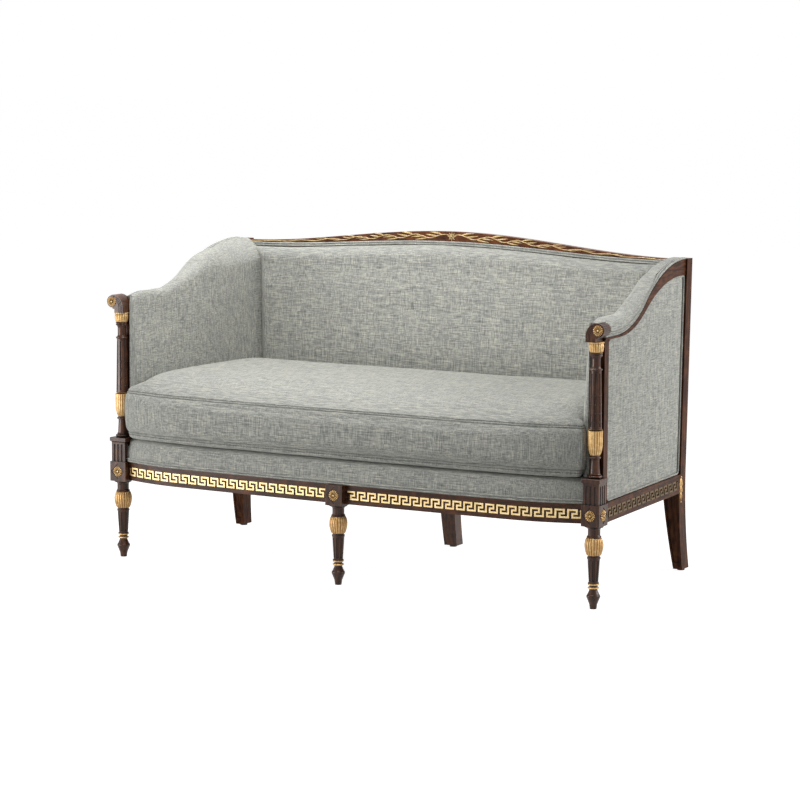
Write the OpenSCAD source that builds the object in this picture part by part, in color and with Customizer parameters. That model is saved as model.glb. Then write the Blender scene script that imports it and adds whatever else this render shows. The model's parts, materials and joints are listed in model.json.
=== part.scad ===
// Neoclassical loveseat: turned and fluted show-wood frame with gilt mounts, Greek key rails,
// carved crest, upholstered back and arms, and one loose seat cushion. Millimetres, +Z up, the front
// faces -Y, and the origin is on the floor under the middle of the piece.

/* [Overall] */
// Distance between the axes of the two front corner legs
leg_spread = 1420; // [1300:10:1600]
// Depth from the front leg axes to the back of the rear feet
frame_depth = 609; // [560:1:680]
// Height of the underside of the seat rails above the floor
rail_bottom = 215; // [200:1:240]
// Height of the seat rails
rail_h = 50; // [46:1:60]
// Thickness of the seat rails
rail_t = 26; // [22:1:30]
// How far the middle of the front rail bows forward of the front leg axes
bow_depth = 56; // [48:1:60]
// Height of the posts' tops above the floor
post_top = 838; // [800:1:880]

/* [Front legs] */
// Side of the square block at the top of each front leg
block_w = 50; // [46:1:56]
// Diameter of the fluted shaft of the foot at its top
foot_shaft_d = 31.5; // [29:0.5:34]
// Diameter of the fluted shaft of the foot at its bottom
foot_taper_d = 24.5; // [22.5:0.5:27]
// Greatest diameter of the vase-shaped toe
vase_d = 35.3; // [32:0.1:38]
// Height of the vase-shaped toe
vase_h = 48; // [42:1:54]
// Greatest diameter of the gilt reeded bulb
bulb_d = 48; // [44:0.5:50]
// Height of the gilt reeded bulb
bulb_h = 45; // [40:1:50]
// Number of reeds round the bulb
bulb_reeds = 28; // [16:1:32]
// Height of the plain neck over the bulb
foot_neck_h = 19; // [15:1:24]
// Diameter of the gilt fillet rings
fillet_d = 29; // [27:0.5:31]

/* [Columns] */
// Side of the square fluted plinth
plinth_w = 43; // [40:1:46]
// Height of the plinth without its cap
plinth_h = 52; // [46:1:60]
// Height of the plinth's cap
plinth_cap_h = 14; // [12:1:18]
// Diameter of the column's shaft at its foot
column_d = 32; // [30:0.5:34]
// Diameter of the column's shaft at its top
column_top_d = 26.5; // [25:0.5:29]
// Diameter of the gilt tulip sleeve
tulip_d = 37.8; // [36:0.2:39]
// Height of the gilt tulip sleeve
tulip_h = 66; // [58:1:74]
// Number of reeds round the tulip sleeve and the collar
sleeve_reeds = 22; // [14:1:26]
// Diameter of the gilt collar at its top
collar_d = 39.5; // [37:0.5:40]
// Height of the gilt collar
collar_h = 26; // [22:1:30]
// Height of the underside of the carved scroll above the floor
scroll_bottom = 672; // [650:1:700]
// Depth of the carved scroll from front to back
scroll_depth = 42; // [38:1:44]
// Radius of the roll at the scroll's outer end
roll_r = 16.5; // [15:0.5:19]

/* [Rear legs] */
// Width of the rear corner legs at the rail
rear_leg_w = 48; // [42:1:54]
// Width of the rear corner legs at the floor
rear_toe_w = 26; // [22:1:30]
// Depth of the rear legs below the rail
rear_leg_t = 42; // [38:1:48]
// Thickness of the back posts over the rail
post_t = 33; // [30:1:36]
// Width of the back posts over the rail
post_w = 42; // [38:1:46]
// Sweep radius of the sabre curve at the back of the leg
sabre_r = 1008; // [900:1:1200]
// Backward lean of the back in degrees
back_lean = 2.2; // [1:0.1:3]
// Thickness of the round glides under the rear legs
glide_h = 5; // [3:1:8]

/* [Key pattern] */
// Number of key units in each half of the front rail
front_keys = 21; // [16:1:24]
// Number of key units along each side rail
side_keys = 15; // [12:1:18]
// Height of the key band
key_band_h = 23.4; // [20:0.2:26]
// Depth of the sunk band that holds the key strip
key_sink = 2; // [1:0.5:3]
// Width of the key strip's line
key_line = 4.4; // [3.6:0.1:5]

/* [Crest] */
// Rise of the crest's top edge at the middle over its ends
crest_rise = 47; // [35:1:60]
// Thickness of the crest rail
crest_t = 30; // [26:1:34]
// Relief of the applied carving
carving_t = 2.4; // [1.5:0.1:4]

/* [Upholstery] */
// Height of the deck's top above the floor
deck_top = 328; // [318:1:340]
// Thickness of the loose cushion at its seams
cushion_side_h = 118; // [100:1:124]
// Depth of the roll under the cushion's bottom seam
cushion_roll_h = 13; // [10:1:18]
// Rise of the cushion's crown over its top seam
cushion_crown = 50; // [30:1:55]
// Thickness of the inside arm at the seat, from the side rail's face inwards, at the front
arm_front_t = 58; // [54:1:70]
// Thickness of the inside arm at the back corner
arm_back_t = 116; // [100:1:124]
// Thickness of the inside back at the seat
back_pad_t = 48; // [40:1:60]
// Diameter of the welt cords
welt_d = 5.6; // [4.5:0.1:6.5]
// Gap between soft pieces and what they rest on
soft_gap = 0.4; // [0.3:0.1:0.6]

/* [Inside] */
// Number of seat springs
spring_count = 7; // [5:1:9]
// Thickness of the seat springs' wire
spring_wire = 4; // [3:0.5:5]
// Width of the hardwood stretchers
stretcher_w = 24; // [20:1:30]

/* [Hidden] */
$fn = 64;
mahogany = [0.30, 0.17, 0.12];
gilt = [0.82, 0.66, 0.38];
old_gilt = [0.55, 0.43, 0.24];
linen = [0.66, 0.68, 0.64];
beech = [0.80, 0.66, 0.47];
steel = [0.60, 0.62, 0.64];
felt = [0.85, 0.84, 0.80];
black = [0.10, 0.10, 0.10];
jute = [0.72, 0.60, 0.42];

// The front rosette of the centre block is the foremost point, the rear feet the hindmost
centre_leg_forward = 49;
rosette_t = 3;
diamond_sink = 1.2;
front_reach = centre_leg_forward + block_w / 2 + rosette_t - diamond_sink;
front_y = -(frame_depth - front_reach) / 2;
leg_x = leg_spread / 2;
rail_top = rail_bottom + rail_h;
block_bottom = rail_bottom - 4;
block_back_y = front_y + block_w / 2;

// The back of the frame: the posts lean, and every piece of the back follows them
rear_floor_y = front_y + frame_depth;
knee_z = rail_top - 15;
knee_y = rear_floor_y - (sabre_r - sqrt(pow(sabre_r, 2) - pow(knee_z - glide_h, 2)));
post_front_y = knee_y - post_t;
lean_slope = tan(back_lean);
function post_face(z) = post_front_y + (z - rail_top) * lean_slope;
rear_x = leg_x - 5;
rear_rail_y = knee_y - 8 - rail_t;
leg_front_y = knee_y - rear_leg_t;

// The side rails run from the front block to the rear leg and draw in towards the back
side_front_x = leg_x + 19;
side_run = leg_front_y - block_back_y;
side_angle = atan((side_front_x - rear_x) / side_run);
function side_x(y, inset = 0) = side_front_x - (y - block_back_y) * tan(side_angle) - inset;
panel_inset = 6;
strip_inset = 3;
frame_inset = 32;

// The bow of the front rail: a flat middle arc with tighter arcs at its ends
bow_end_x = leg_x - block_w / 2;
bow_flat_x = bow_end_x - 185;
bow_flat_r = 15000;
bow_end_r = 511;
function bow_y(x, out = 0) =
  let (a = abs(x), e = max(0, a - bow_flat_x), f = min(a, bow_flat_x))
  front_y - bow_depth - out + pow(f, 2) / (2 * bow_flat_r) + e * bow_flat_x / bow_flat_r
  + pow(e, 2) / (2 * bow_end_r);
function bow_xs(w) = concat([for (i = [-9:0]) -w + (i + 9) * (w - bow_flat_x) / 9],
  [for (i = [1:9]) -bow_flat_x + i * bow_flat_x / 5],
  [for (i = [0:9]) bow_flat_x + i * (w - bow_flat_x) / 9]);
function bow_line(w, out = 0) = [for (x = bow_xs(w)) [x, bow_y(x, out)]];
function flip(list) = [for (i = [len(list) - 1:-1:0]) list[i]];
function arc(cx, cy, r, a0, a1, n = 8) =
  [for (i = [0:n]) let (a = a0 + (a1 - a0) * i / n) [cx + r * cos(a), cy + r * sin(a)]];

// Heights along a foot, from the floor up
low_ring_z = vase_h + 3.5;
ring_h = 4.5;
high_ring_z = low_ring_z + ring_h + 4.5;
shaft_z = high_ring_z + ring_h + 3;
cove_h = 8;
bulb_top_z = block_bottom - 3 - cove_h - foot_neck_h;
bulb_z = bulb_top_z - bulb_h;
shaft_top_z = bulb_z - 6;
core_d = 23;
foot_flutes = 8;
foot_flute_r = 3.4;

// Heights along a column, from the plinth up
plinth_top_z = rail_top + plinth_h;
cap_top_z = plinth_top_z + plinth_cap_h;
base_ring_h = 12;
vase_ring_h = 6;
baluster_h = 37;
tulip_z = cap_top_z + base_ring_h + baluster_h + vase_ring_h + 2;
tulip_top_z = tulip_z + tulip_h;
collar_z = scroll_bottom - collar_h;
neck_top_z = collar_z - 10;
neck_ring_z = neck_top_z - 33;
column_flutes = 8;
column_flute_r = 3.1;
pearl_r = 2.5;
pearl_pitch = 22;

// Arm curve in the side view, seen along X: [centre y, centre z, radius] of each arc, from the front
arm_front_z = scroll_bottom + 7.5;
strip_front_t = 5;
arm_turn = 37;
hollow_y = front_y + 97;
hollow_r = 316;
crown_r = 437;
arm_straight = 8;
crown_y = hollow_y + (hollow_r + crown_r) * sin(arm_turn) + arm_straight * cos(arm_turn);
crown_z = arm_front_z + hollow_r - (hollow_r + crown_r) * cos(arm_turn) + arm_straight * sin(arm_turn);
low_front_z = arm_front_z - strip_front_t;
low_turn = 30.5;
low_hollow_y = front_y + 116;
low_hollow_r = 315;
low_crown_r = 453;
low_straight = 30;
low_crown_y = low_hollow_y + (low_hollow_r + low_crown_r) * sin(low_turn) + low_straight * cos(low_turn);
low_crown_z = low_front_z + low_hollow_r - (low_hollow_r + low_crown_r) * cos(low_turn)
  + low_straight * sin(low_turn);
// Upper edge of the arm strip at a depth y, raised square to itself by out
function arm_top(y, out = 0) =
  y < hollow_y ? arm_front_z + out :
  y < hollow_y + (hollow_r - out) * sin(arm_turn) ?
    arm_front_z + hollow_r - sqrt(pow(hollow_r - out, 2) - pow(y - hollow_y, 2)) :
  y < crown_y - (crown_r + out) * sin(arm_turn) ?
    arm_front_z + hollow_r - (hollow_r - out) * cos(arm_turn)
    + (y - hollow_y - (hollow_r - out) * sin(arm_turn)) * tan(arm_turn) :
  crown_z + sqrt(pow(crown_r + out, 2) - pow(min(y, crown_y + 60) - crown_y, 2));
// Lower edge of the arm strip, lowered square to itself by out
function arm_low(y, out = 0) =
  y < low_hollow_y ? low_front_z - out :
  y < low_hollow_y + (low_hollow_r + out) * sin(low_turn) ?
    low_front_z + low_hollow_r - sqrt(pow(low_hollow_r + out, 2) - pow(y - low_hollow_y, 2)) :
  y < low_crown_y - (low_crown_r - out) * sin(low_turn) ?
    low_front_z + low_hollow_r - (low_hollow_r + out) * cos(low_turn)
    + (y - low_hollow_y - (low_hollow_r + out) * sin(low_turn)) * tan(low_turn) :
  low_crown_z + sqrt(pow(low_crown_r - out, 2) - pow(min(y, low_crown_y) - low_crown_y, 2));

// Crest outline in the front view
crest_half = rear_x - post_w;
crest_end_z = post_top - 2;
function crest_top(x) = crest_end_z + crest_rise * (1 + cos(180 * min(1, abs(x) / (crest_half + 17)))) / 2;
function crest_low(x) = crest_end_z - 5 + 25 * (1 + cos(180 * min(1, abs(x) / (crest_half - 33)))) / 2;
crest_body_drop = 34;
crest_xs = [for (i = [-26:26]) crest_half * i / 26];

// Placing helpers
module both_sides() {
  children();
  mirror([1, 0, 0]) children();
}
module on_side(inset = 0) {
  translate([side_front_x, block_back_y, 0]) rotate([0, 0, side_angle]) translate([-inset, 0, 0]) children();
}
// Stands a drawing of [y, z] upright and gives it thickness along X
module side_plate(t) {
  rotate([90, 0, 90]) linear_extrude(t) children();
}
// Stands a drawing of [x, z] upright and gives it thickness along Y
module front_plate(t) {
  translate([0, t, 0]) rotate([90, 0, 0]) linear_extrude(t) children();
}
// Leans a drawing of [x, z], placed at real heights, with the back of the frame
module leaning(y0, t) {
  translate([0, post_front_y + y0, rail_top]) rotate([-back_lean, 0, 0]) translate([0, 0, -rail_top])
    front_plate(t) children();
}

// Turned front foot, from the floor to the block
module foot() {
  fr = foot_shaft_d / 2;
  core = core_d / 2;
  slim = core - 1;
  toe = vase_d / 2 - 9;
  outline = concat([[0, 0], [toe, 0], [toe + 1.5, vase_h / 4]],
    arc(vase_d / 2 - 7, vase_h * 0.66, 7, -35, 50, 6),
    [[slim, vase_h], [slim, high_ring_z], [slim, high_ring_z + ring_h]],
    arc(fillet_d / 2 - 1, high_ring_z + ring_h + 1, 1, -90, 90, 3),
    [[foot_taper_d / 2, shaft_z], [fr, shaft_top_z - 3], [fr + 1.2, shaft_top_z - 2.4]],
    [[fr + 1.2, shaft_top_z + 2], [fr - 1, shaft_top_z + 2.6], [fr - 1, bulb_z], [core, bulb_z]],
    [[core, bulb_top_z], [fr - 1, bulb_top_z]], arc(fr + 1, bulb_top_z + 2, 2, -90, 90, 4),
    [[fr, bulb_top_z + 7]],
    arc(fr + cove_h, block_bottom - 3 - cove_h, cove_h, 180, 90, 6),
    [[block_w / 2 - 2, block_bottom - 3], [block_w / 2 - 2, block_bottom], [0, block_bottom]]);
  difference() {
    rotate_extrude() polygon(outline);
    for (i = [0:foot_flutes - 1])
      rotate([0, 0, (i + 0.5) * 360 / foot_flutes])
        flute(shaft_z + 3, foot_taper_d / 2, shaft_top_z - 6, fr, foot_flute_r);
  }
}
// One round-bottomed flute lying on a tapering shaft, between two heights
module flute(z0, r0, z1, r1, r) {
  lean = atan((r1 - r0) / (z1 - z0));
  translate([r0 + r * 0.25, 0, z0]) rotate([0, lean, 0]) cylinder(r = r, h = (z1 - z0) / cos(lean));
}
// Square block with a sunk diamond that holds its rosette
module leg_block(h, faces) {
  difference() {
    translate([-block_w / 2, -block_w / 2, block_bottom]) cube([block_w, block_w, h]);
    for (a = faces)
      rotate([0, 0, a]) translate([0, -block_w / 2 - 1, block_bottom + h / 2]) rotate([0, 45, 0])
        translate([-diamond / 2, 0, -diamond / 2]) cube([diamond, 1 + diamond_sink, diamond]);
  }
}
rosette_d = 28;
diamond = rosette_d + 3.2;
block_h = rail_top - block_bottom;

// Square fluted plinth with its coved cap
module plinth() {
  flute_gap = plinth_w * 0.27;
  difference() {
    translate([-plinth_w / 2, -plinth_w / 2, rail_top]) cube([plinth_w, plinth_w, plinth_h]);
    for (a = [0, 90, 180, 270], k = [-1:1])
      rotate([0, 0, a]) translate([k * flute_gap, -plinth_w / 2 - 1, rail_top]) {
        translate([0, 0, -1]) cylinder(r = 3.4, h = plinth_h - 6, $fn = 32);
        translate([0, 0, plinth_h - 7]) sphere(r = 3.4, $fn = 32);
      }
  }
  half = plinth_w / 2;
  reach = block_w / 2 + 0.35;
  side = concat([[-half, 0]], arc(-half - (reach - half), 0, reach - half, 0, 90, 5),
    [[-reach, 5], [-reach, plinth_cap_h - 1], [-reach + 1, plinth_cap_h]]);
  intersection() {
    translate([0, -reach, plinth_top_z]) front_plate(2 * reach)
      polygon(concat(side, flip([for (p = side) [-p[0], p[1]]])));
    translate([-reach, 0, plinth_top_z]) side_plate(2 * reach)
      polygon(concat(side, [[half, plinth_cap_h], [half, 0]]));
  }
}
// Turned column over the plinth: base ring, baluster, core under the tulip, fluted shaft, neck, core
module column() {
  core = core_d / 2;
  base = tulip_d / 2 - 0.2;
  cr = column_d / 2;
  ct = column_top_d / 2;
  slim = core - 0.6;
  top_ring = ct + 2.7;
  neck_r = ct - 2.3;
  z1 = cap_top_z + base_ring_h;
  z2 = tulip_z - vase_ring_h - 2;
  outline = concat([[0, cap_top_z]], arc(base - 4, cap_top_z + 4, 4, -90, 90, 6),
    arc(base - 6, cap_top_z + 10, 2, -90, 90, 4),
    [[core + 1, z1 + 3], [slim, z2 - 6], [slim, z2]],
    arc(core + 0.4, z2 + vase_ring_h / 2, vase_ring_h / 2, -90, 90, 5),
    [[core, tulip_z - 1], [core, tulip_top_z], [cr, tulip_top_z], [cr, tulip_top_z + 2]],
    [[ct, neck_ring_z - 5], [ct, neck_ring_z - 3]], arc(top_ring - 3, neck_ring_z, 3, -90, 90, 5),
    [[ct - 0.6, neck_ring_z + 3.4], [neck_r, neck_ring_z + 7], [neck_r, neck_top_z - 6], [ct, neck_top_z]],
    arc(top_ring - 2, neck_top_z + 2.2, 2.2, -90, 90, 4),
    arc(top_ring - 2, neck_top_z + 7, 2.2, -90, 90, 4),
    [[core, collar_z], [core, scroll_bottom], [0, scroll_bottom]]);
  z3 = tulip_top_z + 6;
  z4 = neck_ring_z - 9;
  taper = (cr - ct) / (neck_ring_z - 5 - tulip_top_z - 2);
  difference() {
    rotate_extrude() polygon(outline);
    for (i = [0:column_flutes - 1])
      rotate([0, 0, (i + 0.5) * 360 / column_flutes])
        flute(z3, cr - (z3 - tulip_top_z - 2) * taper, z4, cr - (z4 - tulip_top_z - 2) * taper, column_flute_r);
  }
}
// Pearls that stop the lower half of the column's flutes
module pearls() {
  cr = column_d / 2;
  ct = column_top_d / 2;
  taper = (cr - ct) / (neck_ring_z - 5 - tulip_top_z - 2);
  for (i = [0:column_flutes - 1], k = [0:3]) {
    z = tulip_top_z + 18 + k * pearl_pitch;
    r = cr - (z - tulip_top_z - 2) * taper;
    rotate([0, 0, (i + 0.5) * 360 / column_flutes]) translate([r - 2, 0, z])
      sphere(r = pearl_r, $fn = 24);
  }
}
module front_corner_leg(faces) {
  difference() {
    union() {
      foot();
      leg_block(block_h, faces);
      plinth();
      column();
      pearls();
    }
    rail_dowel_bores();
  }
}
// Dowel bores of the right-hand leg, towards the front rail and the side rail
dowel_d = 9;
dowel_in = 18;
dowel_z = [rail_bottom + 16, rail_bottom + rail_h - 16];
module rail_dowel_bores() {
  for (z = dowel_z) {
    translate([-block_w / 2 - 1, 3, z]) rotate([0, 90, 0]) cylinder(d = dowel_d, h = dowel_in + 1, $fn = 32);
    translate([0, block_w / 2 + 1, z]) rotate([90, 0, 0]) cylinder(d = dowel_d, h = dowel_in + 1, $fn = 32);
  }
}
module front_leg_right() {
  color(mahogany) translate([leg_x, front_y, 0]) front_corner_leg([0, 90]);
}
module front_leg_left() {
  color(mahogany) mirror([1, 0, 0]) translate([leg_x, front_y, 0]) front_corner_leg([0, 90]);
}
centre_lap = 30;
module front_leg_centre() {
  color(mahogany) translate([0, front_y - centre_leg_forward, 0]) {
    foot();
    difference() {
      leg_block(block_h, [0]);
      translate([-block_w, -block_w / 2 + centre_lap, rail_bottom]) cube([2 * block_w, block_w, block_h]);
    }
  }
}

// A closed skin over rings of equal length, with a fan over each end; faces are triangles
function ring_faces(n, m) = concat(
  [for (j = [0:m - 2], i = [0:n - 1]) let (a = j * n + i, b = j * n + (i + 1) % n)
    each [[a, b + n, b], [a, a + n, b + n]]],
  [for (i = [0:n - 1]) let (e = (m - 1) * n, k = (i + 1) % n)
    each [[m * n, i, k], [m * n + 1, e + k, e + i]]]);
module ring_solid(rings, first, last) {
  polyhedron([for (r = rings) each r, first, last], ring_faces(len(rings[0]), len(rings)));
}
// A closed skin over sections that pair their points across the thickness, so bent sections close too
function pair_faces(n, m) = concat(
  [for (j = [0:m - 2], i = [0:n - 1]) let (a = j * n + i, b = j * n + (i + 1) % n)
    each [[a, b + n, b], [a, a + n, b + n]]],
  [for (i = [0:n / 2 - 2]) let (e = (m - 1) * n, k = n - 1 - i)
    each [[i, i + 1, k - 1], [i, k - 1, k], [e + i, e + k - 1, e + i + 1], [e + i, e + k, e + k - 1]]]);
module pair_solid(rings) {
  polyhedron([for (r = rings) each r], pair_faces(len(rings[0]), len(rings)));
}
// A cord through points that lie in one plane, whose square is up
function cord_rings(path, up, r, sides = 6) = [for (k = [0:len(path) - 1])
  let (t = path[min(k + 1, len(path) - 1)] - path[max(k - 1, 0)], d = t / norm(t), s = cross(up, d))
  [for (i = [0:sides - 1]) let (a = 360 * (i + 0.5) / sides) path[k] + r * (cos(a) * up + sin(a) * s)]];
module cord(path, up, r = welt_d / 2) {
  ring_solid(cord_rings(path, up, r), path[0], path[len(path) - 1]);
}

// Gilt pieces on the front legs and columns
// Lobed sleeve: ridges and furrows alternate, and each level is [radius, height, furrow, furrow drop]
module reeded_sleeve(levels, reeds) {
  n = 2 * reeds;
  top = levels[len(levels) - 1];
  difference() {
    ring_solid([for (v = levels) [for (i = [0:n - 1]) let (f = i % 2, r = v[0] - f * v[2], a = i * 360 / n)
      [r * cos(a), r * sin(a), v[1] - f * v[3]]]], [0, 0, levels[0][1]], [0, 0, top[1] - top[3]]);
    translate([0, 0, levels[0][1] - 1]) cylinder(d = core_d + 0.2, h = top[1] + 2);
  }
}
bulb_belly = 0.6 * bulb_h;
bulb_foot_d = 36;
bulb_lip_d = 38.5;
function bulb_radius(z) = z < bulb_belly ?
  bulb_d / 2 - (bulb_d - bulb_foot_d) / 2 * pow((bulb_belly - z) / bulb_belly, 2) :
  bulb_d / 2 - (bulb_d - bulb_lip_d) / 2 * pow((z - bulb_belly) / (bulb_h - bulb_belly), 2);
module leg_bulb() {
  lip = 1.6;
  zs = [lip, 0.22 * bulb_h, 0.42 * bulb_h, 0.62 * bulb_h, 0.82 * bulb_h, bulb_h - lip];
  reeded_sleeve(concat([[bulb_radius(0) - lip, 0, 0.2, 0]], [for (z = zs) [bulb_radius(z), z, 1.3, 0]],
    [[bulb_radius(bulb_h) - lip, bulb_h, 0.2, 0]]), bulb_reeds);
}
module at_front_legs() {
  for (x = [-leg_x, leg_x]) translate([x, front_y, 0]) children();
  translate([0, front_y - centre_leg_forward, 0]) children();
}
module leg_bulbs() {
  color(gilt) at_front_legs() translate([0, 0, bulb_z]) leg_bulb();
}
module fillet_ring() {
  slim = core_d / 2 - 0.9;
  r = ring_h / 2;
  rotate_extrude() polygon(concat([[slim, 0]], arc(fillet_d / 2 - r, r, r, -90, 90, 6), [[slim, ring_h]]));
}
module leg_rings() {
  color(gilt) at_front_legs() {
    translate([0, 0, low_ring_z]) fillet_ring();
    translate([0, 0, high_ring_z]) fillet_ring();
  }
}
module tulip() {
  r = tulip_d / 2;
  foot = 14.6;
  reeded_sleeve([[foot - 1, 0, 0.2, 0], [foot + 0.4, 1.5, 0.7, 0], [foot + 2.2, tulip_h * 0.1, 1, 0],
    [r - 0.6, tulip_h * 0.24, 1.2, 0], [r, tulip_h * 0.38, 1.2, 0], [r, tulip_h - 3.5, 1.2, 0],
    [r - 1.2, tulip_h, 0.9, 3]], sleeve_reeds);
}
module column_tulips() {
  color(gilt) both_sides() translate([leg_x, front_y, tulip_z]) tulip();
}
module collar() {
  r = collar_d / 2;
  reeded_sleeve([[r - 3.6, 0, 0.3, 0], [r - 2.4, 1.5, 1.2, 0], [r - 0.6, collar_h * 0.6, 1.4, 0],
    [r, collar_h - 3, 1.6, 0], [r - 0.6, collar_h, 1.6, 3.4]], sleeve_reeds);
}
module column_collars() {
  color(gilt) both_sides() translate([leg_x, front_y, collar_z]) collar();
}
// Round flower of pointed petals, seated on the plane y = 0 and facing -Y
module rosette(d) {
  petals = 16;
  notch = d * 0.1;
  base_t = rosette_t - 0.9;
  tips = [for (i = [0:petals - 1], k = [[0, 0], [0.4, notch], [0.6, notch]])
    let (a = (i + k[0]) * 360 / petals, r = d / 2 - k[1]) [r * cos(a), r * sin(a)]];
  rotate([90, 0, 0]) difference() {
    union() {
      linear_extrude(base_t) polygon(tips);
      translate([0, 0, base_t - 0.1]) cylinder(r1 = d * 0.2, r2 = d * 0.13, h = 0.55);
      translate([0, 0, base_t - 0.5]) sphere(d = 2.8, $fn = 24);
    }
    for (i = [0:petals - 1])
      rotate([0, 0, (i + 0.5) * 360 / petals]) translate([d * 0.24, 0, base_t + 0.25])
        rotate([0, 90, 0]) rotate([0, 0, 20]) cylinder(r = 0.8, h = d, $fn = 16);
  }
}
block_mid_z = block_bottom + block_h / 2;
module block_rosettes() {
  seat = block_w / 2 - diamond_sink;
  color(gilt) {
    translate([0, front_y - centre_leg_forward - seat, block_mid_z]) rosette(rosette_d);
    both_sides() {
      translate([leg_x, front_y - seat, block_mid_z]) rosette(rosette_d);
      translate([leg_x + seat, front_y, block_mid_z]) rotate([0, 0, 90]) rosette(rosette_d);
    }
  }
}

// Carved scroll on top of each column: a neck that swells inwards and rolls outwards
roll_out = 15;
roll_up = 30;
scroll_h = 48.5;
shoulder_r = 33;
neck_out = 8;
neck_hollow_r = 13;
crest_r = 8;
scroll_inner = -collar_d / 2 + 0.3;
shoulder_z = scroll_h - shoulder_r;
scroll_front_y = front_y - scroll_depth / 2 - 2;
scroll_back_y = scroll_front_y + scroll_depth;
module scroll_outline() {
  difference() {
    union() {
      translate([scroll_inner, 0]) square([neck_out - scroll_inner, shoulder_z]);
      intersection() {
        translate([scroll_inner + shoulder_r, shoulder_z]) circle(shoulder_r, $fn = 96);
        translate([scroll_inner, shoulder_z]) square([shoulder_r, shoulder_r]);
      }
      translate([neck_out - 1, roll_up / 3]) square([roll_out - neck_out, roll_up * 0.6]);
    }
    translate([neck_out + neck_hollow_r, 0]) circle(neck_hollow_r);
  }
  hull() {
    translate([scroll_inner + shoulder_r, scroll_h - crest_r]) circle(crest_r);
    translate([roll_out, roll_up]) circle(roll_r);
  }
}
// Reeds on the front face: grooves that follow the shoulder from the collar up
groove_w = 1.8;
groove_depth = 1.1;
function groove_line(inset, turn) = concat([[scroll_inner + inset, -1]],
  arc(scroll_inner + shoulder_r, shoulder_z, shoulder_r - inset, 180, 180 - turn, 10));
module scroll_groove(inset, turn) {
  translate([0, -1, 0]) front_plate(1 + groove_depth)
    polygon(concat(groove_line(inset, turn), flip(groove_line(inset + groove_w, turn))));
}
module arm_scroll() {
  difference() {
    translate([leg_x, scroll_front_y, scroll_bottom]) front_plate(scroll_depth) scroll_outline();
    for (a = [-80:20:80])
      translate([leg_x + roll_out, 0, scroll_bottom + roll_up]) rotate([0, -a, 0])
        translate([roll_r + 0.8, scroll_front_y + 3, 0]) rotate([-90, 0, 0])
          cylinder(r = 2.2, h = scroll_depth, $fn = 24);
    translate([leg_x, scroll_front_y, scroll_bottom]) {
      scroll_groove(2.6, 84);
      scroll_groove(6.8, 62);
      scroll_groove(11, 48);
    }
  }
}
module arm_scroll_right() {
  color(mahogany) arm_scroll();
}
module arm_scroll_left() {
  color(mahogany) mirror([1, 0, 0]) arm_scroll();
}
module arm_rosettes() {
  color(gilt) both_sides() translate([leg_x + roll_out, scroll_front_y, scroll_bottom + roll_up])
    rosette(rosette_d - 1);
}

// Seat rails with the sunk band for the key pattern
key_z = rail_bottom + (rail_h - key_band_h) / 2 - 1;
key_gap = 0.2;
module bow_band(w, out, back) {
  linear_extrude(rail_h) polygon(concat(bow_line(w, out), flip(bow_line(w, -back))));
}
key_end = 4;
module key_bed() {
  end = block_w / 2 + key_end - key_gap;
  intersection() {
    translate([0, 0, key_z - key_gap]) bow_band(bow_end_x, 1, key_sink);
    both_sides() translate([end, -frame_depth, key_z - key_gap])
      cube([bow_end_x - block_w / 2 - 2 * (end - block_w / 2), frame_depth, key_band_h + 2 * key_gap]);
  }
}
module front_rail() {
  color(mahogany) difference() {
    translate([0, 0, rail_bottom]) bow_band(bow_end_x, 0, rail_t);
    key_bed();
    translate([-block_w / 2, front_y - centre_leg_forward - block_w, rail_bottom - 1])
      cube([block_w, block_w / 2 + centre_lap, rail_h + 2]);
    both_sides() for (z = dowel_z) translate([bow_end_x - dowel_in, front_y + 3, z]) rotate([0, 90, 0])
      cylinder(d = dowel_d, h = dowel_in + 1, $fn = 32);
  }
}
// Meander line of n keys as corner points, and the band outline round such a line
function key_path(n, pitch, h) = let (u = pitch / 6) concat([for (k = [0:n - 1]) let (x = k * pitch)
  each [[x, h], [x + 4 * u, h], [x + 4 * u, h / 2], [x + 2 * u, h / 2], [x + 2 * u, 0], [x + 6 * u, 0]]],
  [[n * pitch, h]]);
function step_side(a, b) = let (d = (b - a) / norm(b - a)) [-d[1], d[0]];
function key_side(p, w) = [for (i = [0:len(p) - 1])
  i == 0 ? p[0] + w * step_side(p[0], p[1]) :
  i == len(p) - 1 ? p[i] + w * step_side(p[i - 1], p[i]) :
  p[i] + w * (step_side(p[i - 1], p[i]) + step_side(p[i], p[i + 1]))];
module key_drawing(n, pitch) {
  p = key_path(n, pitch, key_band_h - key_line);
  translate([0, key_line / 2]) polygon(concat(key_side(p, key_line / 2), flip(key_side(p, -key_line / 2))));
}
module fret_front() {
  start = block_w / 2 + key_end + key_line / 2;
  pitch = (bow_end_x - key_end - key_line / 2 - start) / front_keys;
  intersection() {
    translate([start, front_y - 2 * bow_depth, key_z]) front_plate(2 * bow_depth + block_w)
      key_drawing(front_keys, pitch);
    translate([0, 0, rail_bottom]) bow_band(bow_end_x, 0.3, key_sink - 0.02);
  }
}
module fret_front_right() {
  color(gilt) fret_front();
}
module fret_front_left() {
  color(gilt) mirror([1, 0, 0]) fret_front();
}
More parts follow.
